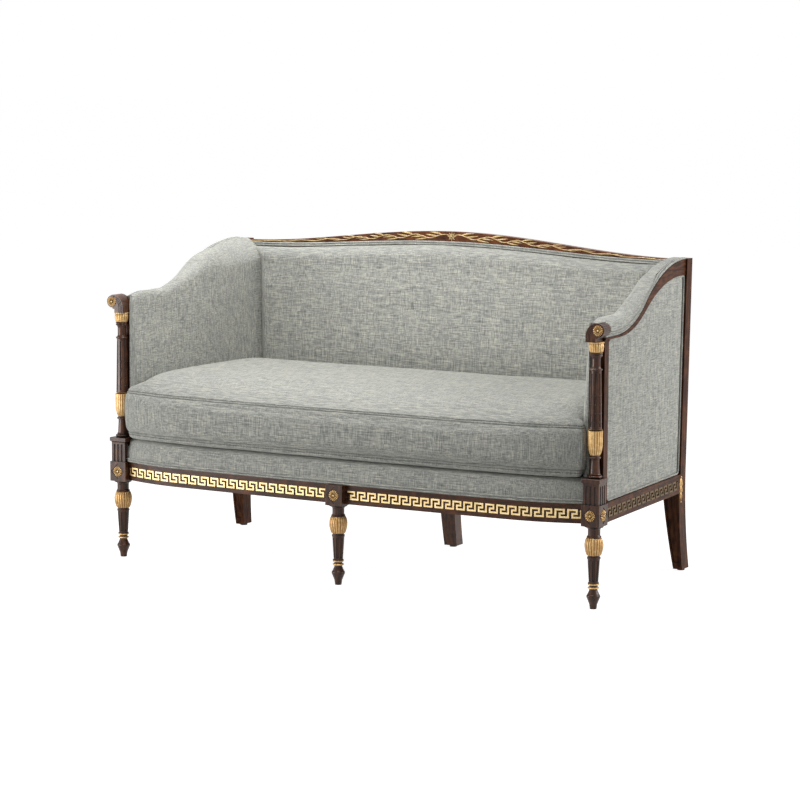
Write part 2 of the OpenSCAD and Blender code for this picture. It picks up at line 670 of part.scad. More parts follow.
// Slanted slab that follows the side of the frame, from an inset inwards by t
module side_slab(inset, t) {
  on_side(inset) translate([-t, -block_w, 0]) cube([t, side_run + 4 * block_w, 2 * post_top]);
}
module side_rail() {
  bed_end = 10;
  difference() {
    intersection() {
      side_slab(0, rail_t);
      translate([0, block_back_y, rail_bottom]) cube([2 * leg_x, side_run, rail_h]);
    }
    on_side(0) translate([-key_sink, bed_end, key_z - key_gap])
      cube([key_sink + 1, side_run - 2 * bed_end, key_band_h + 2 * key_gap]);
    for (z = dowel_z) translate([leg_x, block_back_y - 1, z]) rotate([-90, 0, 0])
      cylinder(d = dowel_d, h = dowel_in + 1, $fn = 32);
  }
}
module side_rail_right() {
  color(mahogany) side_rail();
}
module side_rail_left() {
  color(mahogany) mirror([1, 0, 0]) side_rail();
}
module fret_side() {
  start = 14;
  pitch = (side_run - 2 * start) / side_keys;
  on_side(key_sink - 0.02) translate([0, start, key_z]) side_plate(key_sink)
    key_drawing(side_keys, pitch);
}
module fret_side_right() {
  color(old_gilt) fret_side();
}
module fret_side_left() {
  color(old_gilt) mirror([1, 0, 0]) fret_side();
}
module rail_dowels() {
  color(beech) both_sides() for (z = dowel_z) {
    translate([bow_end_x - dowel_in + 0.5, front_y + 3, z]) rotate([0, 90, 0])
      cylinder(d = dowel_d, h = 2 * dowel_in - 1, $fn = 32);
    translate([leg_x, block_back_y - dowel_in + 0.5, z]) rotate([-90, 0, 0])
      cylinder(d = dowel_d, h = 2 * dowel_in - 1, $fn = 32);
  }
}
module back_rail() {
  inner = rear_x - rear_leg_w;
  color(beech) translate([-inner, rear_rail_y, rail_bottom]) cube([2 * inner, rail_t, rail_h]);
}

// Rear legs: sabre curve below the rail, leaning post above it
module sabre_side(t, top) {
  intersection() {
    translate([knee_y + sabre_r, knee_z]) difference() {
      circle(sabre_r + t, $fn = 256);
      circle(sabre_r, $fn = 256);
    }
    translate([knee_y - 2 * t, glide_h]) square([4 * t, top - glide_h]);
  }
}
module rear_leg() {
  post_back = (post_top - rail_top) * lean_slope;
  taper_z = knee_z - 30;
  difference() {
    intersection() {
      side_plate(2 * leg_x) {
        sabre_side(rear_leg_t, knee_z);
        translate([leg_front_y, knee_z]) square([rear_leg_t, rail_top - knee_z]);
        polygon([[post_front_y, rail_top - 1], [knee_y, rail_top - 1], [knee_y, rail_top],
          [knee_y + post_back, post_top], [post_front_y + post_back, post_top], [post_front_y, rail_top]]);
      }
      translate([0, leg_front_y - 50, 0]) front_plate(200)
        polygon([[rear_x - rear_toe_w, 0], [rear_x - rear_leg_w, taper_z], [rear_x - rear_leg_w, rail_top],
          [rear_x - post_w, rail_top], [rear_x - post_w, post_top + 1], [rear_x, post_top + 1], [rear_x, 0]]);
    }
    intersection() {
      side_plate(2 * leg_x) intersection() {
        translate([knee_y + sabre_r, knee_z]) difference() {
          circle(sabre_r + rear_leg_t + 4, $fn = 256);
          circle(sabre_r + rear_leg_t - 1.6, $fn = 256);
        }
        translate([leg_front_y - 20, glide_h + 18]) square([120, taper_z - glide_h - 26]);
      }
      edge = 5.5;
      translate([0, leg_front_y - 50, 0]) front_plate(200)
        polygon([[rear_x - rear_toe_w + edge, 0], [rear_x - rear_leg_w + edge, taper_z],
          [rear_x - edge, taper_z], [rear_x - edge, 0]]);
    }
  }
}
module rear_leg_right() {
  color(mahogany) rear_leg();
}
module rear_leg_left() {
  color(mahogany) mirror([1, 0, 0]) rear_leg();
}
centre_rear_w = 49;
centre_rear_toe_w = 39;
centre_rear_t = 36;
module rear_leg_centre() {
  color(mahogany) intersection() {
    translate([-centre_rear_w, 0, 0]) side_plate(2 * centre_rear_w) sabre_side(centre_rear_t, rail_bottom);
    translate([0, leg_front_y - 50, 0]) front_plate(200)
      polygon([[-centre_rear_toe_w / 2, 0], [-centre_rear_w / 2, rail_bottom],
        [centre_rear_w / 2, rail_bottom], [centre_rear_toe_w / 2, 0]]);
  }
}
module rear_glides() {
  glide_d = 20;
  foot_y = rear_floor_y - rear_leg_t / 2;
  color(black) {
    both_sides() translate([rear_x - rear_toe_w / 2, foot_y, 0]) cylinder(d = glide_d, h = glide_h);
    translate([0, foot_y, 0]) cylinder(d = glide_d, h = glide_h);
  }
}
// Lens of a given length and width, lying along +X from the origin
module petal(len, w) {
  r = (len * len + w * w) / (4 * w);
  intersection() {
    translate([len / 2, r - w / 2]) circle(r, $fn = 72);
    translate([len / 2, w / 2 - r]) circle(r, $fn = 72);
  }
}
module husk_drops() {
  husk_y = leg_front_y + 13;
  color(gilt) both_sides() translate([rear_x, husk_y, rail_top - 7]) side_plate(2.2) {
    circle(3, $fn = 24);
    for (k = [0:2]) translate([0, -2 - k * 19]) {
      for (a = [-112, -90, -68]) rotate(a) petal(24 - 3 * k, 7 - k);
    }
    translate([0, -66]) circle(2.4, $fn = 24);
    translate([0, -66]) rotate(90) petal(16, 2.6);
  }
}

// Stiles behind the columns, and the show-wood strips of the arms
stile_back_y = front_y + 48;
stile_w = 60;
stile_in = 20;
module front_stile() {
  intersection() {
    side_slab(panel_inset, stile_w);
    translate([leg_x - stile_in, front_y + plinth_w / 2, rail_top])
      cube([stile_w, stile_back_y - front_y - plinth_w / 2, low_front_z - rail_top]);
  }
}
module front_stile_right() {
  color(mahogany) front_stile();
}
module front_stile_left() {
  color(mahogany) mirror([1, 0, 0]) front_stile();
}
arm_end_y = post_face(post_top) + 2;
function arm_ys(y0, y1, n) = [for (i = [0:n]) y0 + (y1 - y0) * i / n];
module arm_strip_drawing() {
  ys = arm_ys(scroll_back_y, arm_end_y, 40);
  polygon(concat([for (y = ys) [y, arm_low(y)]], [for (y = flip(ys)) [y, arm_top(y)]]));
}
// Everything in front of the leaning plane of the posts, moved forward by a gap
module before_posts(gap) {
  translate([0, post_front_y - gap, rail_top]) rotate([-back_lean, 0, 0])
    translate([-2 * leg_x, -frame_depth, -rail_top]) cube([4 * leg_x, frame_depth, 2 * post_top]);
}
module arm_rail() {
  intersection() {
    side_slab(strip_inset, frame_inset - strip_inset);
    side_plate(2 * leg_x) arm_strip_drawing();
    before_posts(0);
  }
}
module arm_rail_right() {
  color(mahogany) arm_rail();
}
module arm_rail_left() {
  color(mahogany) mirror([1, 0, 0]) arm_rail();
}
// Inner arm frame: a tacking rail over the seat and one upright up to the strip
tack_z = deck_top + 12;
tack_h = 36;
panel_t = 7;
panel_sink = panel_inset + 3;
tack_t = frame_inset - panel_sink - panel_t - 0.3;
module arm_tack_rails() {
  color(beech) both_sides() intersection() {
    side_slab(frame_inset - tack_t, tack_t);
    translate([0, stile_back_y, tack_z]) cube([2 * leg_x, frame_depth, tack_h]);
    before_posts(0);
  }
}
upright_back = 270;
upright_y = front_y + upright_back;
upright_w = 34;
module arm_uprights() {
  color(beech) both_sides() intersection() {
    side_slab(frame_inset - tack_t, tack_t);
    side_plate(2 * leg_x) difference() {
      translate([upright_y, rail_top]) square([upright_w, post_top - rail_top]);
      translate([upright_y - upright_w, tack_z]) square([3 * upright_w, tack_h]);
      polygon(concat([for (y = arm_ys(upright_y - 20, upright_y + 60, 12)) [y, arm_low(y, 0.2)]],
        [[upright_y + 60, post_top + 20], [upright_y - 20, post_top + 20]]));
    }
  }
}

// Crest rail and its applied carving
module crest_rail() {
  color(mahogany) intersection() {
    leaning(0, crest_t) polygon(concat([for (x = crest_xs) [x, crest_low(x) - crest_body_drop]],
      [for (x = flip(crest_xs)) [x, crest_top(x)]]));
    translate([-crest_half, 0, 0]) cube([2 * crest_half, frame_depth, 2 * post_top]);
  }
}
function crest_mid(x) = (crest_top(x) + crest_low(x)) / 2 - 0.5;
function crest_room(x) = crest_top(x) - crest_low(x) - 4;
vine_step = 46;
vine_turns = 12;
function vine_z(x) = crest_mid(x) + 0.22 * crest_room(x) * sin(180 * abs(x) / vine_step);
module vine_side() {
  xs = [for (i = [0:vine_turns * 6]) 12 + i * vine_step / 6];
  polygon(concat([for (x = xs) [x, vine_z(x) - 0.9]], [for (x = flip(xs)) [x, vine_z(x) + 0.9]]));
  for (k = [0:vine_turns - 1]) {
    x = 14 + (k + 0.35) * vine_step;
    room = crest_room(x);
    up = k % 2 == 0 ? 1 : -1;
    long = min(vine_step * 0.95, 12 + 1.1 * room);
    wide = max(2.4, room * 0.34);
    translate([x, vine_z(x)]) rotate(up * min(24, room)) petal(long, wide);
    translate([x, vine_z(x)]) rotate(-up * min(30, 1.3 * room)) petal(long * 0.75, wide * 0.85);
    translate([x + 6, vine_z(x + 6)]) rotate(up * 4) petal(long, wide * 0.7);
  }
}
module crest_carving() {
  color(gilt) leaning(-carving_t - 0.02, carving_t) {
    intersection() {
      union() {
        vine_side();
        mirror([1, 0]) vine_side();
      }
      polygon(concat([for (x = crest_xs) [x, crest_low(x) + 1.2]],
        [for (x = flip(crest_xs)) [x, crest_top(x) - 1.4]]));
    }
    translate([0, crest_mid(0)]) {
      circle(4.6);
      for (i = [0:7]) rotate(i * 45 + 22.5) petal(11.5, 5);
    }
  }
}

// Soft pieces. The inside arm is drawn as sections across it, from the outer welt over the rolled
// top to the inner face, each followed back along its underside
arm_soft_front_y = front_y + 5;
seat_z = 500;
flare = 0.055;
function arm_t(y) = let (u = max(0, min(1, (y - front_y) / 500)))
  arm_front_t + (arm_back_t - arm_front_t) * (u / 3 + 2 * pow(u, 5) / 3);
function inner_x(y, z) = side_x(y) - arm_t(y) + flare * max(0, z - seat_z);
ridge_front_z = scroll_bottom + 55;
ridge_y = front_y + 162;
ridge_run = post_face(post_top) - ridge_y;
ridge_in = 38;
function ridge_line(y) = let (u = max(0, min(1, (y - ridge_y) / ridge_run)))
  ridge_front_z + (post_top - ridge_front_z) * pow(sin(90 * u), 1.3);
// The two welts lie one over the other at the front, and the upper one turns inwards along the slope
welt_in = strip_inset + welt_d / 2 + 0.2;
welt_up = welt_d / 2 + 0.6;
welt_turn_y = front_y + 325;
welt_turn_run = 110;
function welt_angle(y) = let (u = max(0, min(1, (y - welt_turn_y) / welt_turn_run))) 90 * (1 - u * u * (3 - 2 * u));
// Point beside the welts, as [inset, height over the strip]: along their line and square to it
function by_welt(y, k, along, square_out) = let (a = welt_angle(y), d = k * (welt_d + 0.1) + along)
  [welt_in + d * cos(a) - square_out * sin(a), welt_up + d * sin(a) + square_out * cos(a)];
function arm_section(y, full_top, full_low, draw = 0) =
  let (r = welt_d / 2, edge = by_welt(y, 1, r + 2, 1.6), u0 = by_welt(y, 1, r + 1, 1.2),
    u1 = by_welt(y, 1, r + 1, -r - 1), z0 = arm_top(y, edge[1]) - draw,
    z1 = max(ridge_line(y) - draw, z0 + 0.4), in = leg_x - 22,
    t = arm_t(y) - draw, low = cap_top_z + soft_gap, bed = arm_top(y, soft_gap + 0.9),
    top = [for (a = [0, 27, 58, 90]) [edge[0] + (ridge_in - edge[0]) * (1 - cos(a)), z0 + (z1 - z0) * sin(a)]],
    roll = min(24, t - ridge_in), xs = [for (p = top) [side_x(y, p[0]), p[1]]],
    inner = [[inner_x(y, z1) + draw + 4, z1 - 6], [inner_x(y, z1 - roll) + draw, z1 - roll],
      [inner_x(y, (low + z1) / 2) + draw, (low + z1) / 2], [inner_x(y, low) + draw, low]],
    b0 = side_x(y, u0[0]), b1 = side_x(y, u1[0]), b2 = side_x(y, u1[0] + 0.4),
    b3 = side_x(y, frame_inset + 0.2), b4 = side_x(y, frame_inset + soft_gap),
    under = [[b0, arm_top(y, u0[1]) - draw], [b1, max(bed, arm_top(y, u1[1])) - draw], [b2, bed - draw],
      [b3, bed - draw], [b4, bed - 1 - draw], [b4, (bed + low) / 2 + 40], [b4, (bed + low) / 2 - 60], [b4, low]],
    ring = concat([for (p = concat(xs, inner)) p], flip(under)), n = len(ring))
  [for (i = [0:n - 1]) let (p = ring[i], high = i < 5 || i > 11, step = i == 4 ? 3 : i < 8 ? 0.6 : 0,
    x = (high && !full_top) || (!high && !full_low) ? min(p[0], in - step) : p[0])
    [x, min(y, post_face(p[1]) - soft_gap), p[1]]];
module inside_arm() {
  y_roll = scroll_back_y + soft_gap;
  y_stile = stile_back_y + soft_gap;
  y_end = post_face(post_top) - soft_gap;
  ys = arm_ys(y_stile, y_end, 22);
  pair_solid(flip(concat([arm_section(arm_soft_front_y, false, false, 13),
    arm_section(arm_soft_front_y + 4, false, false, 4), arm_section(y_roll - 0.3, false, false)],
    [for (y = [y_roll, y_stile - 0.3]) arm_section(y, true, false)],
    [for (y = ys) arm_section(y, true, true)])));
}
module inside_arm_right() {
  color(linen) inside_arm();
}
module inside_arm_left() {
  color(linen) mirror([1, 0, 0]) inside_arm();
}
// Double welt on the outer edge of the strip
module arm_welt() {
  ys = arm_ys(scroll_back_y + 1, post_face(post_top) - 1, 28);
  for (k = [0, 1])
    cord([for (y = ys) let (p = by_welt(y, k, 0, 0)) [side_x(y, p[0]), y, arm_top(y, p[1])]],
      [cos(side_angle), sin(side_angle), 0]);
}
module arm_welt_right() {
  color(linen) arm_welt();
}
module arm_welt_left() {
  color(linen) mirror([1, 0, 0]) arm_welt();
}
// Outside arm panel between rail, stile, strip and post, with its welt
module outside_arm() {
  ys = arm_ys(stile_back_y + soft_gap, arm_end_y + 6, 30);
  intersection() {
    side_slab(panel_sink, panel_t);
    side_plate(2 * leg_x) polygon(concat([[ys[0], rail_top + soft_gap], [arm_end_y + 6, rail_top + soft_gap]],
      [for (y = flip(ys)) [y, arm_low(y, soft_gap)]]));
    before_posts(soft_gap);
  }
}
module outside_arm_right() {
  color(linen) outside_arm();
}
module outside_arm_left() {
  color(linen) mirror([1, 0, 0]) outside_arm();
}
module panel_welt() {
  r = welt_d / 2 - 0.3;
  edge = r + 0.6;
  x0 = panel_sink - r - 0.2;
  y0 = stile_back_y + 1;
  back = post_front_y - edge - 1;
  low = rail_top + edge;
  path = concat([for (y = arm_ys(y0, back - 8, 3)) [y, low]],
    [[back - 2, low + 2], [post_face(low + 10) - edge - 1, low + 10]],
    [for (z = [400:100:700]) [post_face(z) - edge - 1, z]],
    [for (y = flip(arm_ys(y0, post_face(post_top - 45) - edge - 3, 16))) [y, arm_low(y, edge)]]);
  cord([for (p = path) [side_x(p[0], x0), p[0], p[1]]], [cos(side_angle), sin(side_angle), 0], r);
}
module panel_welt_right() {
  color(linen) panel_welt();
}
module panel_welt_left() {
  color(linen) mirror([1, 0, 0]) panel_welt();
}

// Inside back: a slab that thins and rounds over towards the welt under the crest
back_side_gap = 1.3;
back_web_t = 0.9;
pad_back_gap = back_web_t + soft_gap;
function back_half(z) = inner_x(post_face(z), z) - back_side_gap;
function back_section(s) =
  let (top = crest_low(s * crest_half) - 2 * welt_d - 1, low = deck_top + soft_gap,
    e = 1 - 0.12 * pow(abs(s), 16),
    face = [[low, 0.9], [430, 1], [520, 1], [640, 0.96], [740, 0.86], [top - 32, 0.72], [top - 12, 0.52],
      [top - 2, 0.26], [top, 0.16]],
    ring = concat([for (p = face) [p[0], back_pad_t * p[1] * e]],
      [for (p = flip(face)) [p[0], pad_back_gap]]))
  [for (p = ring) [s * back_half(p[0]), post_face(p[0]) - p[1], p[0]]];
module inside_back_pad() {
  steps = [-1, -0.985, -0.95, for (i = [-6:6]) i * 0.14, 0.95, 0.985, 1];
  color(linen) pair_solid(flip([for (s = steps) back_section(s)]));
}
module back_welt() {
  out = welt_d / 2 + 0.4;
  ends = post_face(crest_end_z);
  half = inner_x(ends, crest_end_z) - 3;
  color(linen) for (k = [0, 1])
    cord([for (i = [-13:13]) let (x = half * i / 13, z = crest_low(x) - welt_d * (k + 0.5) - k * 0.1)
      [x, post_face(z) - out, z]], [0, -cos(back_lean), sin(back_lean)], welt_d / 2);
}

// Deck under the cushion: its front border follows the bow of the rail
function deck_half(y, z) = min(leg_x - soft_gap - (z < plinth_top_z - 8 ? plinth_w / 2 : block_w / 2 + 0.4),
  side_x(y, frame_inset + soft_gap));
deck_back_y = post_front_y - 1;
function deck_section(s) =
  let (x0 = s * deck_half(front_y, rail_top), f = bow_y(x0, 0), z0 = rail_top + soft_gap, z1 = deck_top,
    ring = [[f + 1.5, z0], [f - 0.5, z0 + 14], [f - 1.8, (z0 + z1) / 2 + 4], [f + 0.5, z1 - 10],
      [f + 6, z1 - 3], [f + 16, z1], [deck_back_y, z1], [deck_back_y, z0]])
  [for (p = ring) [s * deck_half(p[0], p[1]), p[0], p[1]]];
module deck_pad() {
  half = deck_half(front_y, rail_top);
  mid = [half - 3, front_y + frame_depth / 3, (rail_top + deck_top) / 2];
  far = [-mid[0], mid[1], mid[2]];
  color(linen) ring_solid(flip([for (x = bow_xs(half)) deck_section(x / half)]), mid, far);
}
module deck_welt() {
  half = leg_x - plinth_w / 2 - 1;
  color(linen) for (k = [0, 1])
    cord([for (x = bow_xs(half)) [x, bow_y(x, 0) - welt_d / 2 - 0.6 + 2 * (1 - k) * 0.1,
      rail_top + soft_gap + welt_d * (k + 0.5) + k * 0.1]], [0, 0, 1], welt_d / 2);
}

// Loose seat cushion: roll under the bottom seam, boxed side, top seam and crown
cushion_z = deck_top + soft_gap;
cushion_front_out = 9;
cushion_back_y = post_face(deck_top) - back_pad_t - 2;
bottom_seam_z = cushion_z + cushion_roll_h;
top_seam_z = bottom_seam_z + cushion_side_h;
cushion_ear = leg_x - block_w / 2 - 1.6;
function cushion_half(y) = y < arm_soft_front_y - 1 ? cushion_ear : inner_x(y, cushion_z) - 2;
// Plan outline, counter-clockwise from the front left corner, drawn in by an inset: the front corners
// reach out in front of the arms, and the sides follow the arms' inner faces
function cushion_plan(inset) =
  let (turn = 6, yb = cushion_back_y - inset, y1 = bow_y(cushion_ear, cushion_front_out) + turn + inset / 4,
    y2 = arm_soft_front_y - 4.5, y3 = arm_soft_front_y - 0.9,
    side = concat([[cushion_ear - inset, y1], [cushion_ear - inset, y2]],
      [for (i = [0:8]) let (y = y3 + (yb - 8 - y3) * i / 8) [cushion_half(y) - inset, y]]))
  concat([for (i = [-12:12]) let (x = i / 12 * (cushion_ear - inset - turn))
      [x, bow_y(x, cushion_front_out) + inset]], side,
    [for (i = [-8:8]) [-(cushion_half(yb) - inset - 10) * i / 8, yb]],
    [for (p = flip(side)) [-p[0], p[1]]]);
function soft_rise(d, reach) = 1 - exp(-max(0, d) / reach);
function crown_reach(x) = 84 - 44 * pow(abs(x) / cushion_ear, 2);
function crown_z(x, y) = top_seam_z + cushion_crown * 1.06
  * soft_rise(y - bow_y(x, cushion_front_out), crown_reach(x)) * soft_rise(cushion_half(y) - abs(x), 15)
  * soft_rise(cushion_back_y - y, 15);
module seat_cushion() {
  sides = [[14, cushion_z], [4, cushion_z + 3], [1.5, bottom_seam_z - 4], [3.2, bottom_seam_z],
    [0.6, bottom_seam_z + 6], [0, (bottom_seam_z + top_seam_z) / 2], [0.8, top_seam_z - 5],
    [2.6, top_seam_z]];
  mid_y = (cushion_back_y + front_y - bow_depth) / 2;
  rim = cushion_plan(2.6);
  walls = [for (v = sides) [for (p = cushion_plan(v[0])) [p[0], p[1], v[1]]]];
  crown = [for (s = [0.985, 0.955, 0.91, 0.84, 0.72, 0.52, 0.26])
    [for (p = rim) let (x = p[0] * s, y = mid_y + (p[1] - mid_y) * s) [x, y, crown_z(x, y)]]];
  color(linen) ring_solid(concat(walls, crown), [0, mid_y, cushion_z], [0, mid_y, crown_z(0, mid_y)]);
}

// Outside back, dust cover and the hidden seat
outside_back_t = 6;
back_panel_y = post_t - outside_back_t - 3;
module outside_back() {
  half = crest_half - soft_gap;
  color(linen) leaning(back_panel_y, outside_back_t)
    polygon(concat([[-half, rail_top + 1.6], [half, rail_top + 1.6]],
      [for (x = flip(crest_xs)) [x * half / crest_half, crest_low(x) - crest_body_drop - 1.4]]));
}
module dust_cover() {
  t = 1;
  edge = 8;
  side = [[side_x(block_back_y, edge), block_back_y], [side_x(leg_front_y, edge), leg_front_y],
    [rear_x - rear_leg_w - 1, rear_rail_y + rail_t - edge]];
  color(black) translate([0, 0, rail_bottom - t]) difference() {
    linear_extrude(t)
      polygon(concat(bow_line(bow_end_x, -edge), side, [for (p = flip(side)) [-p[0], p[1]]]));
    both_sides() {
      translate([bow_end_x - 1, front_y - block_w, -1]) cube([block_w, 1.5 * block_w + 1, t + 2]);
      translate([rear_x - rear_leg_w - 1, leg_front_y - 2, -1]) cube([rear_leg_w + 2, rear_leg_w, t + 2]);
    }
    translate([-block_w / 2 - 1, front_y - centre_leg_forward - block_w / 2 - 1, -1])
      cube([block_w + 2, block_w + 2, t + 2]);
    translate([-centre_rear_w / 2 - 1, leg_front_y - 2, -1]) cube([centre_rear_w + 2, rear_leg_w, t + 2]);
  }
}
brace_h = 34;
brace_z = rail_bottom + 2;
brace_leg = 74;
module corner_blocks() {
  front_in = side_x(block_back_y, rail_t - 6);
  rear_in = side_x(rear_rail_y, rail_t - 6);
  color(beech) both_sides() {
    difference() {
      translate([0, 0, brace_z]) linear_extrude(brace_h)
        polygon([[bow_end_x - brace_leg, front_y - rail_t], [front_in, front_y - rail_t],
          [front_in, block_back_y + brace_leg]]);
      translate([0, 0, rail_bottom]) bow_band(bow_end_x, block_w, rail_t);
      translate([bow_end_x, front_y - block_w, 0]) cube([block_w, 1.5 * block_w, rail_top]);
      side_slab(0, rail_t);
    }
    difference() {
      translate([0, 0, brace_z]) linear_extrude(brace_h)
        polygon([[rear_in - brace_leg - rear_leg_w / 2, rear_rail_y], [rear_in, rear_rail_y],
          [rear_in, rear_rail_y - brace_leg]]);
      translate([rear_x - rear_leg_w, leg_front_y, 0]) cube([rear_leg_w, rear_leg_w, rail_top]);
      side_slab(0, rail_t);
    }
  }
}
stretcher_x = 235;
stretcher_h = 26;
module seat_stretchers() {
  color(beech) both_sides() difference() {
    translate([stretcher_x - stretcher_w / 2, front_y - bow_depth, brace_z])
      cube([stretcher_w, rear_rail_y - front_y + bow_depth, stretcher_h]);
    translate([0, 0, rail_bottom]) bow_band(bow_end_x, block_w, rail_t);
  }
}
// Sinuous springs: a flat wire that runs to and fro from the front rail to the back rail
spring_z = rail_top - 9;
spring_half = 24;
spring_pitch = 38;
spring_side_room = 240;
spring_gap_x = (leg_spread - spring_side_room) / spring_count;
clip_len = 15;
function spring_x(k) = (k - (spring_count - 1) / 2) * spring_gap_x;
function spring_bends(run) = floor((run - 2 * spring_wire) / spring_pitch);
function spring_lead(run) = (run - spring_bends(run) * spring_pitch) / 2;
module spring_drawing(run) {
  bends = spring_bends(run);
  lead = spring_lead(run);
  w = spring_wire;
  r = spring_pitch / 2;
  for (i = [0:bends]) translate([-spring_half, lead + i * spring_pitch - w / 2]) square([2 * spring_half, w]);
  for (i = [0:bends - 1]) mirror([i % 2, 0]) translate([spring_half, lead + (i + 0.5) * spring_pitch])
    difference() {
      circle(r + w / 2);
      circle(r - w / 2);
      translate([-spring_pitch, -spring_pitch]) square([spring_pitch, 2 * spring_pitch]);
    }
}
function spring_start(k) = bow_y(spring_x(k), -rail_t) + clip_len / 2;
function spring_run(k) = rear_rail_y - clip_len / 2 - spring_start(k);
module seat_springs() {
  color(steel) for (k = [0:spring_count - 1]) translate([spring_x(k), spring_start(k), spring_z])
    linear_extrude(spring_wire) spring_drawing(spring_run(k));
}
// One clip at each end of a spring, hooked over its end bar and fixed to the rail; drawn along +Y
clip_t = 1.6;
clip_w = 18;
insulator_room = 4;
module spring_clip(bar) {
  reach = bar + spring_wire / 2 + clip_t + 0.2;
  translate([-clip_w / 2, 0, spring_z]) difference() {
    translate([0, 0, -clip_t - 0.1]) cube([clip_w, reach, spring_wire + 2 * clip_t + 0.2]);
    translate([-1, clip_t, -0.1]) cube([clip_w + 2, reach - 2 * clip_t, spring_wire + 0.2]);
  }
}
module spring_clips() {
  color(steel) for (k = [0:spring_count - 1]) translate([spring_x(k), 0, 0]) {
    seat = bow_y(abs(spring_x(k)) + clip_w / 2, -rail_t) + 0.15;
    bar = spring_start(k) + spring_lead(spring_run(k));
    translate([0, seat, 0]) spring_clip(bar - seat);
    translate([0, rear_rail_y - 0.02, 0]) mirror([0, 1, 0])
      spring_clip(clip_len / 2 + spring_lead(spring_run(k)));
  }
}
module insulator() {
  t = 3;
  half = bow_end_x - brace_leg;
  leads = [for (k = [0:spring_count - 1]) spring_lead(spring_run(k))];
  past_clips = clip_len / 2 + max(leads) + spring_wire / 2 + clip_t + insulator_room;
  color(felt) translate([0, 0, spring_z + spring_wire + 0.2]) linear_extrude(t)
    polygon(concat(bow_line(half, -rail_t - past_clips),
      [[half, rear_rail_y - past_clips], [-half, rear_rail_y - past_clips]]));
}
// Hidden back frame: two uprights, a tacking rail between the posts, and jute webbing over them
upright_t = back_panel_y - 0.3;
upright_x = 230;
back_tack_z = deck_top + 40;
back_tack_h = 40;
module back_uprights() {
  w = 36;
  foot_z = rail_top + 1;
  color(beech) both_sides() leaning(0, upright_t) difference() {
    polygon([[upright_x - w / 2, foot_z], [upright_x + w / 2, foot_z],
      [upright_x + w / 2, crest_low(upright_x + w / 2) - crest_body_drop - 0.25],
      [upright_x - w / 2, crest_low(upright_x - w / 2) - crest_body_drop - 0.25]]);
    translate([0, back_tack_z]) square([2 * upright_x, back_tack_h]);
  }
}
module back_tack_rail() {
  color(beech) leaning(0, upright_t) translate([-crest_half, back_tack_z])
    square([2 * crest_half, back_tack_h]);
}
module back_webbing() {
  strip_w = 50;
  strip_gap = 150;
  color(jute) for (i = [-3:3]) {
    x = i * strip_gap;
    leaning(-back_web_t - 0.05, back_web_t) translate([x - strip_w / 2, back_tack_z + 6])
      square([strip_w, crest_low(abs(x) + strip_w / 2) - crest_body_drop / 2 - back_tack_z - 6]);
  }
}

// What is drawn: the whole piece, or one named sub-part
front_leg_left();
front_leg_right();
front_leg_centre();
front_rail();
side_rail_left();
side_rail_right();
back_rail();
rear_leg_left();
rear_leg_right();
rear_leg_centre();
front_stile_left();
front_stile_right();
arm_rail_left();
arm_rail_right();
arm_scroll_left();
arm_scroll_right();
crest_rail();
leg_bulbs();
leg_rings();
column_tulips();
column_collars();
block_rosettes();
arm_rosettes();
fret_front_left();
fret_front_right();
fret_side_left();
fret_side_right();
crest_carving();
husk_drops();
deck_pad();
deck_welt();
seat_cushion();
inside_back_pad();
back_welt();
inside_arm_left();
inside_arm_right();
arm_welt_left();
arm_welt_right();
outside_arm_left();
outside_arm_right();
panel_welt_left();
panel_welt_right();
outside_back();
dust_cover();
corner_blocks();
seat_stretchers();
seat_springs();
spring_clips();
insulator();
back_uprights();
back_tack_rail();
back_webbing();
arm_tack_rails();
arm_uprights();
rear_glides();
rail_dowels();
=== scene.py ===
import json
from math import asin, copysign, cos, degrees, exp, hypot, pi, radians, sin, sqrt, tan
import bpy
import numpy as np
from mathutils import Matrix, Vector, noise
from mathutils.bvhtree import BVHTree
from mathutils.kdtree import KDTree


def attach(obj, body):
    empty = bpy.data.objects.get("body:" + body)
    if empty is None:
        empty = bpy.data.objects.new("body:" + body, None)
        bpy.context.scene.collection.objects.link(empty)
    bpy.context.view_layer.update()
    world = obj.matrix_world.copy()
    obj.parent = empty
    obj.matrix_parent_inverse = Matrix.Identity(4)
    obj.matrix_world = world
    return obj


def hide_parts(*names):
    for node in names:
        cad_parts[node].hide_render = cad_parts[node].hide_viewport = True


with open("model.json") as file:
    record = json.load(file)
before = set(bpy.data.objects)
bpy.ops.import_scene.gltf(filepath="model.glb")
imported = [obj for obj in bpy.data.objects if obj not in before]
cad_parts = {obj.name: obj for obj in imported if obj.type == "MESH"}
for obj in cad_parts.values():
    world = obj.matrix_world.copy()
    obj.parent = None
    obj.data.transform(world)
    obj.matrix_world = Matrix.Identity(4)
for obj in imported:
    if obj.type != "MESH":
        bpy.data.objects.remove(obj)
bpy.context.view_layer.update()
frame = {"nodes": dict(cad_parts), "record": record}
nodes = frame["nodes"]
mm = 0.001
sides = (("left", -1), ("right", 1))  # as seen from the front

